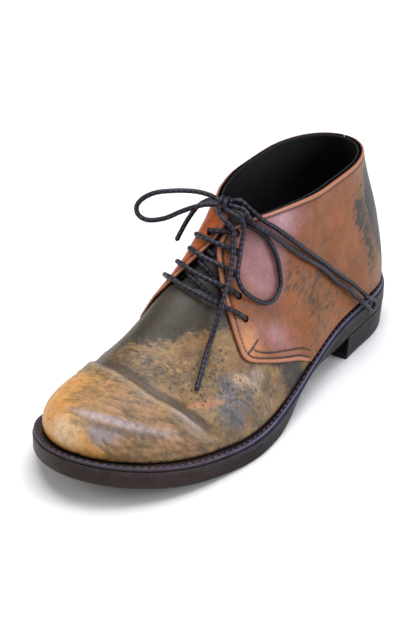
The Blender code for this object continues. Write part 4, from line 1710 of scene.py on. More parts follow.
    def tongue(self, leather: Finish, lining: Finish) -> None:
        """Soft tongue under the facings.

        Args:
            leather: finish of the outside.
            lining: finish of the inside.
        """
        rows = np.linspace(0.56, 1.09, 60)
        under = np.minimum(rows, 0.94)
        half, ridge, beyond = 0.12, 0.03, 0.03
        low = -np.maximum(quarter_edge(under, -1) + beyond, half - ridge)
        high = np.maximum(quarter_edge(under) + beyond, half + ridge)
        skin = Skin("tongue_leather", *self.grid(rows, low, high, 60))
        soft = uneven(skin.base, self.tongue_layers)
        skin.lay(self.shop, -self.upper_wall - 5 * GAP + soft)
        # painted shade in the tongue's dents and a painted highlight on its bulges
        skin.paint("trough", np.clip(-soft * 1.4, 0, 1))
        skin.paint("crown", np.clip(soft, 0, 1))
        skin.paint("hatch", np.full(len(skin.h), 0.2))
        skin.paint("speck", np.full(len(skin.h), 0.1))
        skin.unwrap(skin.base[:, 0], skin.base[:, 1])
        piece = self.shop.add("tongue_leather", skin.mesh, leather, lining, node="tongue",
                              slot="tongue")
        wall(piece, self.tongue_wall * 0.9, round_=0.4)

    def seams(self, thread: Finish) -> None:
        """Stitches of the quarters and the backstay, sunk in their grooves.

        Args:
            thread: the thread's finish.
        """
        def seam(name: str, line: Array, rise: float, slot: str) -> None:
            """Row of stitches.

            Args:
                name: what the row is on, and its number.
                line: its heights and ways round.
                rise: its distance from the last, in millimetres.
                slot: the record's material slot.
            """
            path = LAST.off(*line.T, np.full(len(line), rise))
            sew(f"seam_{name}", self.shop, path, self.stitch, self.bead, thread, slot,
                LAST.normal(*line.T))

        for side in Side:
            for number, line in enumerate(seam_lines(side), 1):
                seam(f"{side.name.lower()}_{number}", line, GAP + self.quarter_wall - 0.22,
                     "quarter")
        h = np.linspace(0.03, self.backstay_top - 0.03, 60)
        for number, v in enumerate((self.backstay_edge, 2 - self.backstay_edge), 1):
            inwards = math.copysign(2.5 / LAST.measure(0.5, v)[1], 1 - v)
            line = np.column_stack([h, np.full(len(h), v + inwards)])
            seam(f"backstay_{number}", line, GAP + self.backstay_wall - 0.2, "backstay")


def settle(piece: Piece) -> None:
    """Applies the piece's modifiers.

    Args:
        piece: the piece, which gets the mesh that they make.
    """
    graph = bpy.context.evaluated_depsgraph_get()
    mesh = bpy.data.meshes.new_from_object(piece.evaluated_get(graph))
    piece.modifiers.clear()
    old, piece.data = piece.data, mesh
    bpy.data.meshes.remove(old)


# How far the rows of stitches lie from their edges, and how far in the tack ends.
FIRST_ROW, SECOND_ROW, COLLAR_ROW, TACK_END = 2.8, 6.4, 2.7, 12.0
TACK = 58


def seam_lines(side: Side) -> list[Array]:
    """Lines of stitching on a quarter, as heights and ways round, close together.

    Args:
        side: the quarter's side.

    Returns:
        Both rows behind the edge, the collar's row, and the tack.
    """
    h = np.concatenate([np.linspace(0.962, 0.355, 60), np.linspace(0.345, 0.03, 30)])
    edge = np.column_stack([h, quarter_edge(h, side.value)])
    outer = LAST.inset(edge, FIRST_ROW, side.value)
    inner = LAST.inset(edge[TACK + 1:], SECOND_ROW, side.value)
    inner = inner[inner[:, 0] > 0.03]
    v = np.linspace(outer[0, 1], 0.985, 130)
    drop = [COLLAR_ROW / LAST.measure(1.0, side.value * way)[0] for way in v]
    rim = np.column_stack([1 - np.array(drop), v])
    rim[:, 0] = collar(rim[:, 0], side.value * v)
    tack = np.linspace(outer[TACK], LAST.inset(edge, TACK_END, side.value)[TACK], 8)
    return [line * (1, side.value) for line in (outer, inner, rim, tack)]


# ================================================================================== the lace
KNOT = np.array((-5.0, -2.0, 119.5))
KNOT_HALF = np.array((6.0, 4.6, 3.8))


def knot(x: float, y: float, z: float) -> Array:
    """Where a lace comes out of the knot in that direction, a little clear of it."""
    way = np.array((x, y, z), float)
    return KNOT + way / np.linalg.norm(way / KNOT_HALF) + way / np.linalg.norm(way)


@dataclass(frozen=True)
class FreeLace:
    """One loop or end of the bow: where it runs, and whether it comes back to the knot."""

    node: str
    returns: bool
    route: tuple[Sequence[float], ...]


def free_laces() -> tuple[FreeLace, ...]:
    """Routes of the free laces, in millimetres, from the knot outwards.

    Returns:
        The bow's three loops and two ends.
    """
    off = LAST.off
    return (
        FreeLace("lace_loop_medial", True, (
            knot(-6, -0.5, 2.2), (-13.5, -4.7, 123.7), (-18.7, -8.3, 125.6), (-24.1, -11.9, 126.2),
            (-30.2, -16.0, 126.1), (-37.8, -21.1, 125.0), (-43.4, -24.9, 121.8),
            (-46.0, -27.8, 117.8), (-44.6, -29.6, 114.0), (-41.2, -29.0, 111.4),
            (-37.0, -26.4, 110.4), (-30.5, -22.2, 111.9), (-24.3, -17.8, 115.4),
            (-18.2, -13.2, 118.2), (-13.6, -9.2, 119.4), knot(-5, -3.5, -0.4))),
        FreeLace("lace_end_medial", False, (
            knot(-5.5, 1.5, -2.2), (-15.5, 2.5, 117.3), (-21.5, 4.4, 114.4), (-27.4, 3.8, 109.2),
            (-30.2, -1.5, 102.6), (-31.0, -7.2, 97.0), (-31.2, -11.6, 93.0))),
        FreeLace("lace_loop_teardrop", True, (
            knot(3.5, -4.5, -0.3), (3.0, -8.8, 119.2), (9.4, -7.6, 116.2), off(0.965, 0.135, 8.0),
            off(0.910, 0.153, 8.0), off(0.850, 0.167, 8.0), off(0.795, 0.183, 8.0),
            off(0.730, 0.201, 8.0), off(0.680, 0.223, 8.0), off(0.635, 0.254, 7.4),
            off(0.595, 0.298, 4.8), off(0.563, 0.334, 4.1), off(0.560, 0.361, 4.1),
            off(0.595, 0.371, 4.1), off(0.640, 0.365, 4.1), off(0.730, 0.339, 4.1),
            off(0.805, 0.306, 4.1), off(0.870, 0.266, 4.0), off(0.925, 0.215, 4.3),
            off(0.968, 0.158, 5.0), (5.8, -3.2, 115.0), knot(4.5, -1.5, -2.6))),
        FreeLace("lace_loop_long", True, (
            knot(5, 2, 2.4), (4.0, 1.0, 122.2), (9.4, 2.0, 118.4), off(0.975, 0.220, 4.8),
            off(0.905, 0.290, 4.4), off(0.830, 0.353, 4.2), off(0.720, 0.430, 4.2),
            off(0.555, 0.525, 4.2), off(0.360, 0.605, 4.3), off(0.180, 0.667, 4.8),
            off(0.110, 0.690, 5.2), (42.0, 82.0, 37.9), (42.4, 85.3, 34.8), (42.6, 88.2, 33.2),
            (42.8, 90.4, 31.6), (43.0, 91.3, 29.4), (43.1, 90.4, 27.2), (43.1, 88.3, 26.2),
            (43.1, 86.0, 26.9), (43.0, 84.2, 28.9), (42.8, 81.9, 31.6), (42.3, 77.0, 36.5),
            off(0.095, 0.674, 5.2), off(0.175, 0.650, 5.0), off(0.315, 0.603, 4.3),
            off(0.520, 0.528, 4.2), off(0.665, 0.443, 4.2), off(0.775, 0.365, 4.4),
            off(0.835, 0.315, 6.0), off(0.895, 0.255, 8.2), off(0.945, 0.198, 8.6),
            (13.6, -3.7, 114.6), (8.6, -2.2, 119.0), knot(6, -1, 0.5))),
        FreeLace("lace_end_front", False, (
            knot(0, -5, -1.2), (-3.2, -9.8, 117.2), (0.8, -12.2, 116.0), off(0.945, 0.101, 8.0),
            off(0.885, 0.125, 8.0), off(0.830, 0.148, 8.0), off(0.765, 0.168, 8.0),
            off(0.715, 0.183, 8.0), off(0.660, 0.190, 8.0), off(0.615, 0.196, 7.6),
            off(0.575, 0.201, 6.4), off(0.510, 0.210, 4.0), off(0.460, 0.216, 2.4),
            off(0.400, 0.225, 2.0), off(0.340, 0.235, 2.0), off(0.275, 0.248, 2.0))),
    )


@dataclass
class Lacing:
    """Round braided lace: through the eyelets, tied, with its loops and ends."""

    shop: Workshop
    braid: Finish
    diameter: float = 3.0
    around: int = 24
    step: float = 0.55
    strands: int = 3
    lay: float = 6.4
    relief: float = 0.19
    tip: int = 3
    wrap_points: int = 60
    wrap_turn: Place = (-70.0, 650.0)
    wrap_lean: Place = (-3.4, 3.2)
    wrap_size: Place = (3.3, 2.7)
    in_hole: tuple[float, float] = (-2.8, 0.8)

    def tube(self, name: str, route: Array) -> Sheet:
        """Tube with a braided surface and rounded ends along evenly spaced points.

        Args:
            name: the mesh's name.
            route: points in millimetres, about a step apart.

        Returns:
            The tube as a sheet, closed.
        """
        radius = self.diameter / 2
        count = len(route)
        forward = np.gradient(route, axis=0)
        forward /= np.linalg.norm(forward, axis=1, keepdims=True)
        side = np.zeros_like(route)
        previous = np.cross(forward[0], (0.3, 0.2, 1.0))
        for i, ahead in enumerate(forward):
            previous = previous - ahead * (previous @ ahead)
            previous /= np.linalg.norm(previous)
            side[i] = previous
        other = np.cross(forward, side)
        end = np.minimum(np.arange(count), np.arange(count)[::-1]) / self.tip
        slim = np.sqrt(np.clip(rounded(end) ** 2, 0.03, 1))
        angle = np.linspace(0, 2 * math.pi, self.around + 1)
        a, b = np.meshgrid(np.arange(count) * self.step, angle, indexing="ij")
        sheet = Sheet(name, a, b)
        turn = 2 * math.pi * sheet.a / self.lay
        first = np.sin(self.strands * sheet.b + turn)
        second = np.sin(self.strands * sheet.b - turn)
        crown = 0.5 + 0.5 * first * second
        reach = (radius - self.relief * (1 - crown)) * slim[sheet.row]
        spoke = (side[sheet.row] * np.cos(sheet.b)[:, None]
                 + other[sheet.row] * np.sin(sheet.b)[:, None])
        sheet.shape(self.shop.metres(route[sheet.row] + spoke * reach[:, None]))
        # the strands' crowns, for the braid's painted highlight and the painted shade between them
        sheet.paint("crown", crown)
        sheet.unwrap(sheet.b * radius, sheet.a)
        sheet.close(fill=True)
        return sheet

    def cords(self) -> None:
        """The bow's loops and ends, each with its length logged."""
        for lace in free_laces():
            route = smooth_route(lace.route, self.step)
            sheet = self.tube(lace.node.replace("lace", "bow"), route)
            piece = self.shop.add(sheet.mesh.name, sheet.mesh, self.braid, node=lace.node,
                                  slot="lace")
            places = self.shop.metres(route)
            length = float(np.linalg.norm(np.diff(places, axis=0), axis=1).sum())
            tuple(places[0])
            [tuple(p) for p in places]
            LOG.info("%s is %.0f mm long", lace.node, length / MM)

    def knot(self) -> None:
        """The bow's knot: turns of lace round the strands that come together in it."""
        angle = np.linspace(*(math.radians(a) for a in self.wrap_turn), self.wrap_points)
        lean = np.linspace(*self.wrap_lean, self.wrap_points)
        swell = 1 - 0.10 * (lean / self.wrap_lean[0]) ** 2
        across, up = self.wrap_size
        strands = {"knot_wrap": KNOT + np.column_stack([lean, across * swell * np.cos(angle),
                                                        up * swell * np.sin(angle)])}
        for lace in free_laces():
            route = smooth_route(lace.route, self.step)
            ends = [route[:6], route[::-1][:6]] if lace.returns else [route[:6]]
            for number, leaving in enumerate(ends, 1):
                inside = KNOT + (leaving[0] - KNOT) * 0.25
                strands[f"{lace.node.replace('lace', 'knot')}_{number}"] = [
                    inside, KNOT + (leaving[0] - KNOT) * 0.6, leaving[0], leaving[5]]
        for name, points in strands.items():
            self.strand(name, points, "lace_knot")

    def bars(self) -> None:
        """The lace across the throat: over from eyelet to eyelet, and under between rows."""
        riding = Upper.quarter_wall + 4 * GAP + self.diameter / 2
        for number, row in enumerate(EYELETS, 1):
            start, end = row.place(Side.MEDIAL), row.place(Side.LATERAL)
            drop = row.bridge - riding
            route = stretched(start, end, lambda way: riding + drop * self.between(way))
            down, up = ([LAST.off(*place, depth) for depth in self.in_hole]
                        for place in (start, end))
            self.strand(f"bar_{number}", [*down, *route[1:-1], *up[::-1]], "lace_bars")
        for number, (low, high) in enumerate(zip(EYELETS, EYELETS[1:]), 1):
            start, end = low.place(Side.LATERAL), high.place(Side.MEDIAL)
            route = stretched(start, end, lambda way: np.where(way[:, 0] < 0.62, 1.5, 0.4)
                              * self.between(way) - 1.6 * (1 - self.between(way)))
            self.strand(f"under_{number}", route, "lace_bars")

    @staticmethod
    def between(way: Array) -> Array:
        """How far inside the throat places lie: 0 on the facings, 1 in its middle.

        Args:
            way: rows of height and way round.

        Returns:
            The share of each place.
        """
        h, v = way.T
        lateral, medial = quarter_edge(h), -quarter_edge(h, -1)
        room = np.minimum(lateral - v, v - medial) + 0.012
        return smooth_step(room / np.maximum((lateral - medial) / 2, 0.024))

    def strand(self, name: str, points: Sequence[Array], node: str) -> None:
        """One held stretch of lace."""
        sheet = self.tube(name, smooth_route(points, self.step))
        self.shop.add(name, sheet.mesh, self.braid, node=node, slot="lace")


def stretched(start: Place, end: Place, height: Callable[[Array], Array], count: int = 15
              ) -> Array:
    """Shortest way over the shoe between two places.

    Args:
        start: height and way round of its first place.
        end: the same for its last place.
        height: gives the distance from the last at rows of height and way round.
        count: how many points to use.

    Returns:
        The points in millimetres.
    """
    way = np.linspace(start, end, count)
    step = 1e-4
    for _ in range(50):
        points = LAST.off(*way.T, height(way))
        pull = (points[:-2] + points[2:]) / 2 - points[1:-1]
        nearby = [way[1:-1] + move for move in np.eye(2) * step]
        slopes = [(LAST.off(*place.T, height(place)) - points[1:-1]) / step for place in nearby]
        way[1:-1] += (np.linalg.pinv(np.stack(slopes, axis=-1)) @ pull[..., None])[..., 0]
    return LAST.off(*way.T, height(way))


# ================================================================================== the studio
@dataclass(frozen=True)
class Studio:
    """Pale floor, soft lights and the camera."""

    azimuth: float = 34.01
    elevation: float = 29.06
    roll: float = 0.15
    distance: float = 0.9617
    target: tuple[float, float, float] = (-0.0098, -0.0057, 0.0514)
    lens: float = 97.2

    def camera(self) -> None:
        """Looks at the shoe from the front and its lateral side."""
        camera = put("camera", bpy.data.cameras.new("camera"))
        camera.data.lens = self.lens
        a, e = math.radians(self.azimuth), math.radians(self.elevation)
        back = Vector((math.sin(a) * math.cos(e), -math.cos(a) * math.cos(e), math.sin(e)))
        right = Vector((0, 0, 1)).cross(back).normalized()
        frame = Matrix((right, back.cross(right), back)).transposed()
        turn = frame @ Matrix.Rotation(math.radians(self.roll), 3, "Z")
        place = Vector(self.target) + back * self.distance
        camera.matrix_world = Matrix.Translation(place) @ turn.to_4x4()
        bpy.context.scene.camera = camera

    def floor(self) -> None:
        """Wide pale floor."""
        shape = bmesh.new()
        bmesh.ops.create_grid(shape, x_segments=1, y_segments=1, size=6.0)
        floor = put("floor", meshed(shape, "floor"))
        white = Graph("floor_white", base_color=(0.86, 0.86, 0.86), roughness=0.85)
        floor.data.materials.append(white.material)
        floor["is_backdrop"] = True

    def light(self, name: str, size: float, power: float, place: Sequence[float],
              colour: Colour) -> None:
        """Square soft light that faces the shoe.

        Args:
            name: the light's name.
            size: length of its side, in metres.
            power: its power, in watts.
            place: where it is, in metres.
            colour: its colour.
        """
        lamp = put(name, bpy.data.lights.new(name, "AREA"))
        lamp.data.size, lamp.data.energy, lamp.data.color = size, power, colour
        lamp.location = place
        aim = Vector((0, 0, 0.05)) - Vector(place)
        lamp.rotation_euler = aim.to_track_quat("-Z", "Y").to_euler()

    def build(self) -> None:
        """Sets the whole studio up."""
        scene = bpy.context.scene
        scene.view_settings.view_transform = "Standard"
        world = bpy.data.worlds.new("studio")
        world.use_nodes = True
        sky = world.node_tree.nodes["Background"].inputs
        sky["Color"].default_value = (0.97, 0.98, 1.0, 1)
        sky["Strength"].default_value = 0.42
        scene.world = world
        self.camera()
        self.floor()
        self.light("sky_panel", 1.5, 34.0, (0.05, 0.10, 1.75), (0.98, 0.98, 1.0))
        self.light("window_panel", 0.9, 13.0, (1.5, 0.4, 0.62), (0.90, 0.94, 1.0))
        self.light("fill_panel", 1.0, 9.0, (-1.2, -1.2, 0.9), (1.0, 0.96, 0.90))


# ================================================================================== the shoe
OCHRE, OLIVE, SLATE = srgb(156, 124, 84), srgb(64, 58, 50), srgb(106, 113, 134)
TAN, NAVY = srgb(138, 79, 35), srgb(34, 36, 43)

VAMP_SPOTS = {
    "gold": ((0.1, -0.03, 26, 0.95), (0.14, -0.12, 24, 0.8), (0.05, 0.06, 18, 0.5),
             (0.24, -0.06, 16, 0.45), (0.1, -0.22, 22, 0.5), (0.3, 0.045, 8, 0.55)),
    "streak": ((0.25, -0.02, 16, 0.55), (0.24, 0.08, 16, 0.8), (0.18, 0.16, 16, 0.85),
               (0.12, 0.23, 14, 0.85), (0.08, 0.12, 10, 0.6), (0.06, 0.2, 10, 0.7),
               (0.05, 0.29, 10, 0.7), (0.3, 0.02, 10, 0.5), (0.16, 0.04, 10, 0.5)),
    # painted highlight on the toe's front
    "pale": ((0.1, 0, 9, 0.7), (0.08, -0.03, 9, 0.5), (0.062, 0.035, 8, 0.4),
             (0.14, -0.05, 9, 0.35)),
    # painted shade at the toe's lower front, behind the main fold, and in a thin line under the
    # sheen
    "dusk": ((0.06, 0.2, 9, 0.6), (0.04, 0.29, 9, 0.9), (0.03, 0.12, 7, 0.5),
             (0.08, 0.35, 8, 0.7), (0.05, 0.4, 9, 0.8), (0.02, 0.05, 6, 0.5),
             (0.14, 0.425, 7, 0.8), (0.02, 0.34, 7, 0.6), (0.2, 0.42, 6, 0.5),
             (0.211, 0.25, 5, 0.5), (0.4, -0.04, 9, 0.4), (0.395, 0.04, 7, 0.3),
             (0.37, -0.15, 10, 1.1), (0.265, 0.3, 7, 0.4), (0.152, 0.06, 2, 0.6),
             (0.147, 0.085, 2, 0.7), (0.142, 0.108, 2, 0.7), (0.132, 0.132, 2, 0.7),
             (0.12, 0.156, 2, 0.7), (0.108, 0.182, 2, 0.7), (0.095, 0.208, 2, 0.6)),
    # painted bluish sheen, most of it in the hollow below the toe's sheen line
    "cool": ((0.112, 0.09, 7, 0.95), (0.112, 0.13, 7, 0.6), (0.17, 0.2, 8, 0.35),
             (0.14, 0.06, 6, 0.3), (0.26, 0.15, 8, 0.3), (0.1, 0.27, 8, 0.35),
             (0.33, 0.05, 5, 0.5), (0.31, 0.14, 5, 0.4)),
    "mixed": ((0.4, 0, 14, 0.5), (0.38, 0.12, 14, 0.65), (0.34, 0.2, 12, 0.5),
              (0.27, 0.28, 13, 0.75), (0.26, 0.39, 10, 0.6), (0.15, 0.4, 12, 0.95),
              (0.06, 0.41, 12, 0.95), (0.16, 0.33, 12, 0.75), (0.42, 0.24, 12, 0.6),
              (0.03, 0.33, 10, 0.75), (0.34, -0.1, 12, 0.4), (0.25, -0.3, 22, 0.6)),
    "smoke": ((0.33, 0.375, 7, 0.8), (0.26, 0.43, 7, 0.9), (0.17, 0.475, 8, 0.9),
              (0.04, 0.5, 13, 1.35), (0.09, 0.445, 7, 0.6), (0.09, 0.155, 5, 0.3),
              (0.1, 0.23, 6, 0.35), (0.2, -0.42, 26, 0.9), (0.33, -0.28, 16, 0.6),
              (0.04, -0.36, 18, 0.6)),
    "slate": ((0.14, 0.331, 7, 0.75), (0.235, 0.32, 7, 0.7), (0.165, 0.375, 8, 0.65),
              (0.09, 0.365, 8, 0.7), (0.31, 0.3, 7, 0.45), (0.27, 0.37, 7, 0.35)),
    "haze": ((0.218, 0.385, 6, 0.8), (0.222, 0.405, 5, 0.5), (0.25, 0.345, 6, 0.6),
             (0.228, 0.316, 5, 0.7), (0.29, 0.33, 6, 0.4), (0.12, 0.4, 5, 0.4)),
    "rust": ((0.214, 0.24, 3, 0.4), (0.212, 0.256, 3, 0.9), (0.21, 0.272, 3, 0.9),
             (0.207, 0.288, 3, 1), (0.203, 0.304, 3, 0.9), (0.196, 0.322, 3, 0.7),
             (0.08, 0.215, 7, 0.6), (0.035, 0.27, 6, 0.6), (0.12, 0.05, 6, 0.45),
             (0.33, 0.33, 6, 0.5), (0.15, 0.38, 5, 0.4)),
    "hatch": ((0.42, 0, 20, 0.75), (0.4, 0.14, 14, 0.75), (0.3, 0.1, 18, 0.45),
              (0.25, 0, 22, 0.35), (0.36, 0.26, 12, 0.6), (0.1, 0.2, 16, 0.55),
              (0.05, 0.1, 14, 0.4), (0.2, 0.4, 14, 0.6), (0.3, -0.2, 24, 0.5),
              (0.12, -0.3, 24, 0.5)),
    "speck": ((0.38, 0.18, 18, 0.9), (0.3, 0.28, 16, 1), (0.22, 0.36, 14, 1), (0.4, 0, 18, 0.7),
              (0.1, 0.42, 12, 0.8), (0.25, -0.25, 26, 0.5)),
    "sheen": ((0.185, -0.035, 3, 0.4), (0.186, 0, 3, 0.6), (0.186, 0.03, 3, 0.8),
              (0.184, 0.056, 3, 0.9), (0.181, 0.08, 3, 0.9), (0.176, 0.104, 3, 0.9),
              (0.167, 0.128, 3.2, 1), (0.154, 0.152, 3.4, 1), (0.142, 0.176, 3.6, 1),
              (0.13, 0.2, 3.8, 0.9), (0.116, 0.224, 3.8, 0.8), (0.1, 0.245, 3.6, 0.5),
              (0.212, 0.222, 2.6, 0.5), (0.19, 0.24, 2.6, 0.7), (0.164, 0.257, 2.6, 0.8),
              (0.138, 0.273, 2.6, 0.8), (0.112, 0.288, 2.6, 0.7), (0.11, 0.11, 5, 0.35)),
}
LATERAL_SPOTS = {
    # painted pale pink highlights
    "veil": ((0.4, 0.4, 9, 0.5), (0.935, 0.31, 11, 0.75), (0.46, 0.32, 6, 0.25),
             (0.31, 0.44, 8, 0.2)),
    "glow": ((0.45, 0.315, 8, 0.9), (0.37, 0.33, 8, 0.6), (0.54, 0.27, 5, 0.6),
             (0.33, 0.38, 8, 0.4)),
    # painted pink sheen
    "bloom": ((0.78, 0.27, 18, 1.1), (0.66, 0.33, 13, 0.8), (0.93, 0.31, 14, 1),
              (0.9, 0.41, 10, 0.35), (0.93, 0.5, 10, 0.2), (0.31, 0.44, 14, 0.6),
              (0.44, 0.35, 11, 0.5), (0.2, 0.5, 10, 0.15)),
    "ember": ((0.45, 0.64, 14, 0.25), (0.63, 0.58, 14, 0.28), (0.59, 0.48, 12, 0.45),
              (0.8, 0.55, 14, 0.25), (0.12, 0.63, 10, 0.2), (0.6, 0.24, 7, 0.6),
              (0.8, 0.13, 7, 0.6), (0.5, 0.44, 8, 0.4)),
    "stain": ((0.74, 0.664, 7, 0.4), (0.66, 0.675, 8, 0.42), (0.58, 0.685, 8, 0.42),
              (0.66, 0.71, 7, 0.36), (0.58, 0.722, 7, 0.36), (0.5, 0.705, 8, 0.36),
              (0.5, 0.74, 6, 0.32), (0.42, 0.725, 8, 0.36), (0.34, 0.745, 8, 0.36),
              (0.25, 0.745, 8, 0.36), (0.16, 0.74, 7, 0.34), (0.8, 0.69, 7, 0.34),
              (0.88, 0.72, 7, 0.28)),
    "olive": ((0.4, 0.53, 18, 0.2), (0.3, 0.6, 15, 0.2), (0.2, 0.58, 13, 0.35),
              (0.08, 0.58, 9, 0.5), (0.9, 0.72, 14, 0.8), (0.7, 0.71, 11, 0.6),
              (0.52, 0.74, 11, 0.6), (0.28, 0.76, 14, 0.8), (0.1, 0.76, 12, 0.6),
              (0.57, 0.41, 10, 0.4), (0.48, 0.49, 12, 0.4)),
    "hatch": ((0.57, 0.41, 14, 0.75), (0.48, 0.5, 17, 0.8), (0.35, 0.56, 17, 0.85),
              (0.2, 0.58, 14, 0.8), (0.3, 0.44, 13, 0.5), (0.38, 0.38, 10, 0.35),
              (0.32, 0.66, 14, 0.4), (0.62, 0.69, 12, 0.7), (0.48, 0.72, 12, 0.7),
              (0.33, 0.76, 14, 0.7), (0.2, 0.77, 12, 0.7), (0.72, 0.55, 18, 0.35),
              (0.85, 0.68, 12, 0.5), (0.08, 0.55, 12, 0.7), (0.68, 0.45, 14, 0.4)),
    "speck": ((0.75, 0.4, 26, 0.16), (0.65, 0.52, 22, 0.28), (0.3, 0.4, 16, 0.25),
              (0.4, 0.6, 20, 0.2)),
}
MEDIAL_SPOTS = {
    "ember": ((0.95, -0.06, 13, 0.9), (0.86, -0.08, 13, 1), (0.76, -0.12, 13, 1),
              (0.66, -0.18, 13, 0.9), (0.8, -0.25, 22, 0.7), (0.56, -0.26, 14, 0.6),
              (0.6, -0.45, 24, 0.4)),
    # painted pink sheen
    "bloom": ((0.8, -0.34, 16, 0.35), (0.6, -0.45, 18, 0.3), (0.85, -0.55, 16, 0.3)),
    "stain": ((0.9, -0.72, 9, 0.8), (0.78, -0.74, 8, 0.8), (0.6, -0.74, 8, 0.6),
              (0.35, -0.77, 8, 0.6), (0.16, -0.78, 8, 0.6)),
    "olive": ((0.28, -0.47, 20, 0.9), (0.4, -0.38, 14, 0.7), (0.49, -0.27, 9, 1.1),
              (0.14, -0.6, 20, 0.7), (0.85, -0.72, 14, 0.5), (0.42, -0.56, 18, 0.45)),
    "hatch": ((0.28, -0.48, 22, 0.8), (0.4, -0.55, 20, 0.55), (0.15, -0.62, 20, 0.6),
              (0.8, -0.74, 14, 0.7), (0.5, -0.68, 16, 0.4)),
    "speck": ((0.55, -0.5, 30, 0.5), (0.3, -0.65, 20, 0.4)),
}
BACKSTAY_SPOTS = {
    "hatch": ((0.45, 1, 34, 0.5), (0.1, 1, 22, 0.6)),
    "speck": ((0.3, 1, 40, 0.3),),
    "tan": ((0.3, 0.9, 12, 0.6), (0.12, 1.05, 14, 0.5), (0.62, 1.08, 12, 0.4)),
}

VAMP_LEATHER = Leather(
    "vamp_leather", OCHRE, srgb(130, 98, 64),
    washes=(Wash("gold", srgb(214, 162, 88), 0.25, 0.85, 0.7, 10.0, 0.88),
            # painted highlight on the toe's front
            Wash("pale", srgb(206, 186, 150), 0.15, 1.15, 0.5, 8.0, 0.8),
            Wash("streak", srgb(100, 80, 62), 0.40, 1.05, 2.0, 2.2, 0.75, 5.0),
            Wash("streak", srgb(196, 148, 100), 0.58, 1.15, 2.4, 3.0, 0.6, 5.0),
            # painted bluish sheen
            Wash("cool", srgb(130, 128, 140), 0.15, 1.15, 1.0, 4.0, 0.8, 3.0),
            Wash("mixed", srgb(72, 64, 54), 0.45, 1.15, 2.4, 2.7, 0.68),
            Wash("mixed", srgb(204, 162, 108), 0.58, 1.20, 2.6, 3.0, 0.65),
            Wash("mixed", srgb(104, 90, 68), 0.40, 1.05, 2.2, 6.5, 0.6, 1.5),
            # painted shade on the toe and along its folds
            Wash("dusk", srgb(84, 72, 58), 0.35, 1.10, 1.9, 2.6, 0.75, 2.5),
            Wash("haze", srgb(198, 168, 148), 0.20, 1.05, 1.5, 3.4, 0.75, 1.6),
            Wash("slate", SLATE, 0.10, 1.30, 2.2, 3.4, 0.85, 1.6),
            Wash("slate", srgb(66, 64, 66), 0.50, 1.20, 2.6, 3.2, 0.7, 1.3),
            Wash("rust", srgb(198, 134, 98), 0.30, 1.05, 1.2, 3.0, 0.68, 6.0),
            Wash("throat", OLIVE, 0.28, 0.74, 1.7, 3.4, 0.97),
            Wash("smoke", srgb(25, 26, 31), 0.35, 1.00, 1.8, 3.0, 0.92),
            Wash("shade", srgb(74, 62, 52), 0.25, 1.00, 1.6, 3.2, 0.75, 3.0),
            Wash("sheen", srgb(186, 180, 188), 0.15, 1.25, 0.6, 4.0, 0.75, 6.0),
            # painted shadow along the foot of the vamp
            Wash("grime", srgb(34, 30, 27), 0.45, 0.75, 1.7, 1.8, 0.85)),
    dashes=srgb(70, 60, 50), dash_size=(1.0, 3.4), follows=True, dash_turn=(0, 0, 70),
    # painted shade in the creases, and a painted highlight on their crowns
    recess_shade=srgb(58, 52, 50), ridge=srgb(180, 160, 142), mottle=0.5, cloud=5.0, roughness=0.46,
    coat=0.08)
QUARTER_LEATHER = Leather(
    "quarter_leather", TAN, srgb(126, 72, 33),
    washes=(Wash("ember", srgb(184, 86, 24), 0.20, 0.95, 1.0, 6.0, 0.88),
            # painted pink sheen
            Wash("bloom", srgb(160, 112, 117), 0.08, 1.10, 0.7, 9.0, 0.92),
            # painted pale pink highlights
            Wash("veil", srgb(202, 168, 178), 0.10, 1.30, 0.4, 9.0, 0.8),
            Wash("glow", srgb(206, 146, 104), 0.10, 1.15, 0.5, 8.0, 0.8),
            Wash("olive", srgb(116, 88, 52), 0.25, 0.95, 1.6, 3.6, 0.8, 2.4),
            Wash("stain", srgb(34, 36, 38), 0.54, 0.80, 2.8, 2.2, 0.92, 3.2),
            Wash("navy", srgb(34, 38, 46), 0.40, 0.62, 0.7, 4.5, 0.95, 2.0)),
    dashes=srgb(46, 38, 37), dash_turn=(26.0, 0, 0), dash_size=(1.3, 3.8),
    band=srgb(178, 118, 92))
BACKSTAY_LEATHER = Leather(
    "backstay_leather", NAVY, srgb(36, 38, 46),
    washes=(Wash("tan", srgb(112, 78, 52), 0.45, 0.8, 1.8, 4.0, 0.6, 2.5),),
    dashes=srgb(92, 84, 76), dash_turn=(60.0, 0, 0), mottle=0.3)
TONGUE_LEATHER = Leather(
    "tongue_leather", srgb(74, 68, 60), srgb(58, 54, 50), roughness=0.55, coat=0.1)


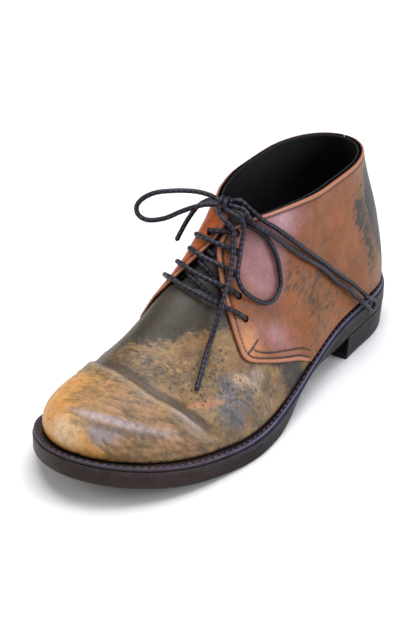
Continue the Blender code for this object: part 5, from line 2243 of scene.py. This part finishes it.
def build_shoe(shop: Workshop) -> None:
    """Builds every sub-assembly in the order a shoemaker would, from the bottom up.

    Args:
        shop: the workshop.
    """
    lining = Plain("lining_black", srgb(7, 8, 11), srgb(12, 13, 16), 0.75, 0.8, 0.06).material()
    thread = Plain("thread_dark", srgb(34, 26, 26), srgb(58, 44, 42), 0.6, 0.4, 0.05).material()
    pale = Plain("thread_pale", srgb(104, 92, 104), srgb(66, 56, 66), 0.6, 0.4, 0.05).material()
    tread = Plain("tread_leather", srgb(66, 50, 42), srgb(44, 35, 32), 0.6, 1.6, 0.12).material()
    rubber = Plain("top_piece_rubber", srgb(24, 23, 24), srgb(36, 34, 34), 0.7, 1.2, 0.1).material()
    edge = SoleEdge("sole_edge", srgb(14, 11, 11), srgb(27, 21, 21))

    bottom = Bottom(shop)
    bottom.outsole(edge.material(), tread)
    bottom.heel(SoleEdge("heel_edge", srgb(9, 8, 10), srgb(16, 13, 16)).material(), rubber)
    bottom.welt(SoleEdge("welt_edge", srgb(18, 15, 21), srgb(30, 26, 34), line=3.0).material())
    bottom.stitches(pale)
    bottom.sock(lining)

    upper = Upper(shop)
    upper.vamp(VAMP_LEATHER.material(), lining)
    quarter = QUARTER_LEATHER.material()
    for side, spots in ((Side.LATERAL, LATERAL_SPOTS), (Side.MEDIAL, MEDIAL_SPOTS)):
        upper.quarter(side, quarter, lining, spots)
    upper.lining(lining)
    upper.backstay(BACKSTAY_LEATHER.material(), lining)
    upper.tongue(TONGUE_LEATHER.material(), lining)
    upper.seams(thread)

    lacing = Lacing(shop, Braid().material())
    lacing.cords()
    lacing.knot()
    lacing.bars()


def main() -> None:
    """Loads the frame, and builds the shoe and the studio."""
    logging.basicConfig(level=logging.INFO, format="%(name)s: %(message)s")
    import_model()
    shop = Workshop.for_frame()
    LOG.info("the last stands at %s mm", np.round(shop.shift, 3))
    build_shoe(shop)
    Studio().build()
    bpy.context.view_layer.update()
    for piece in sorted(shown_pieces(), key=lambda o: o.name):
        LOG.info("%-22s %7d faces", piece.name, len(piece.data.polygons))


if __name__ == "__main__":
    main()
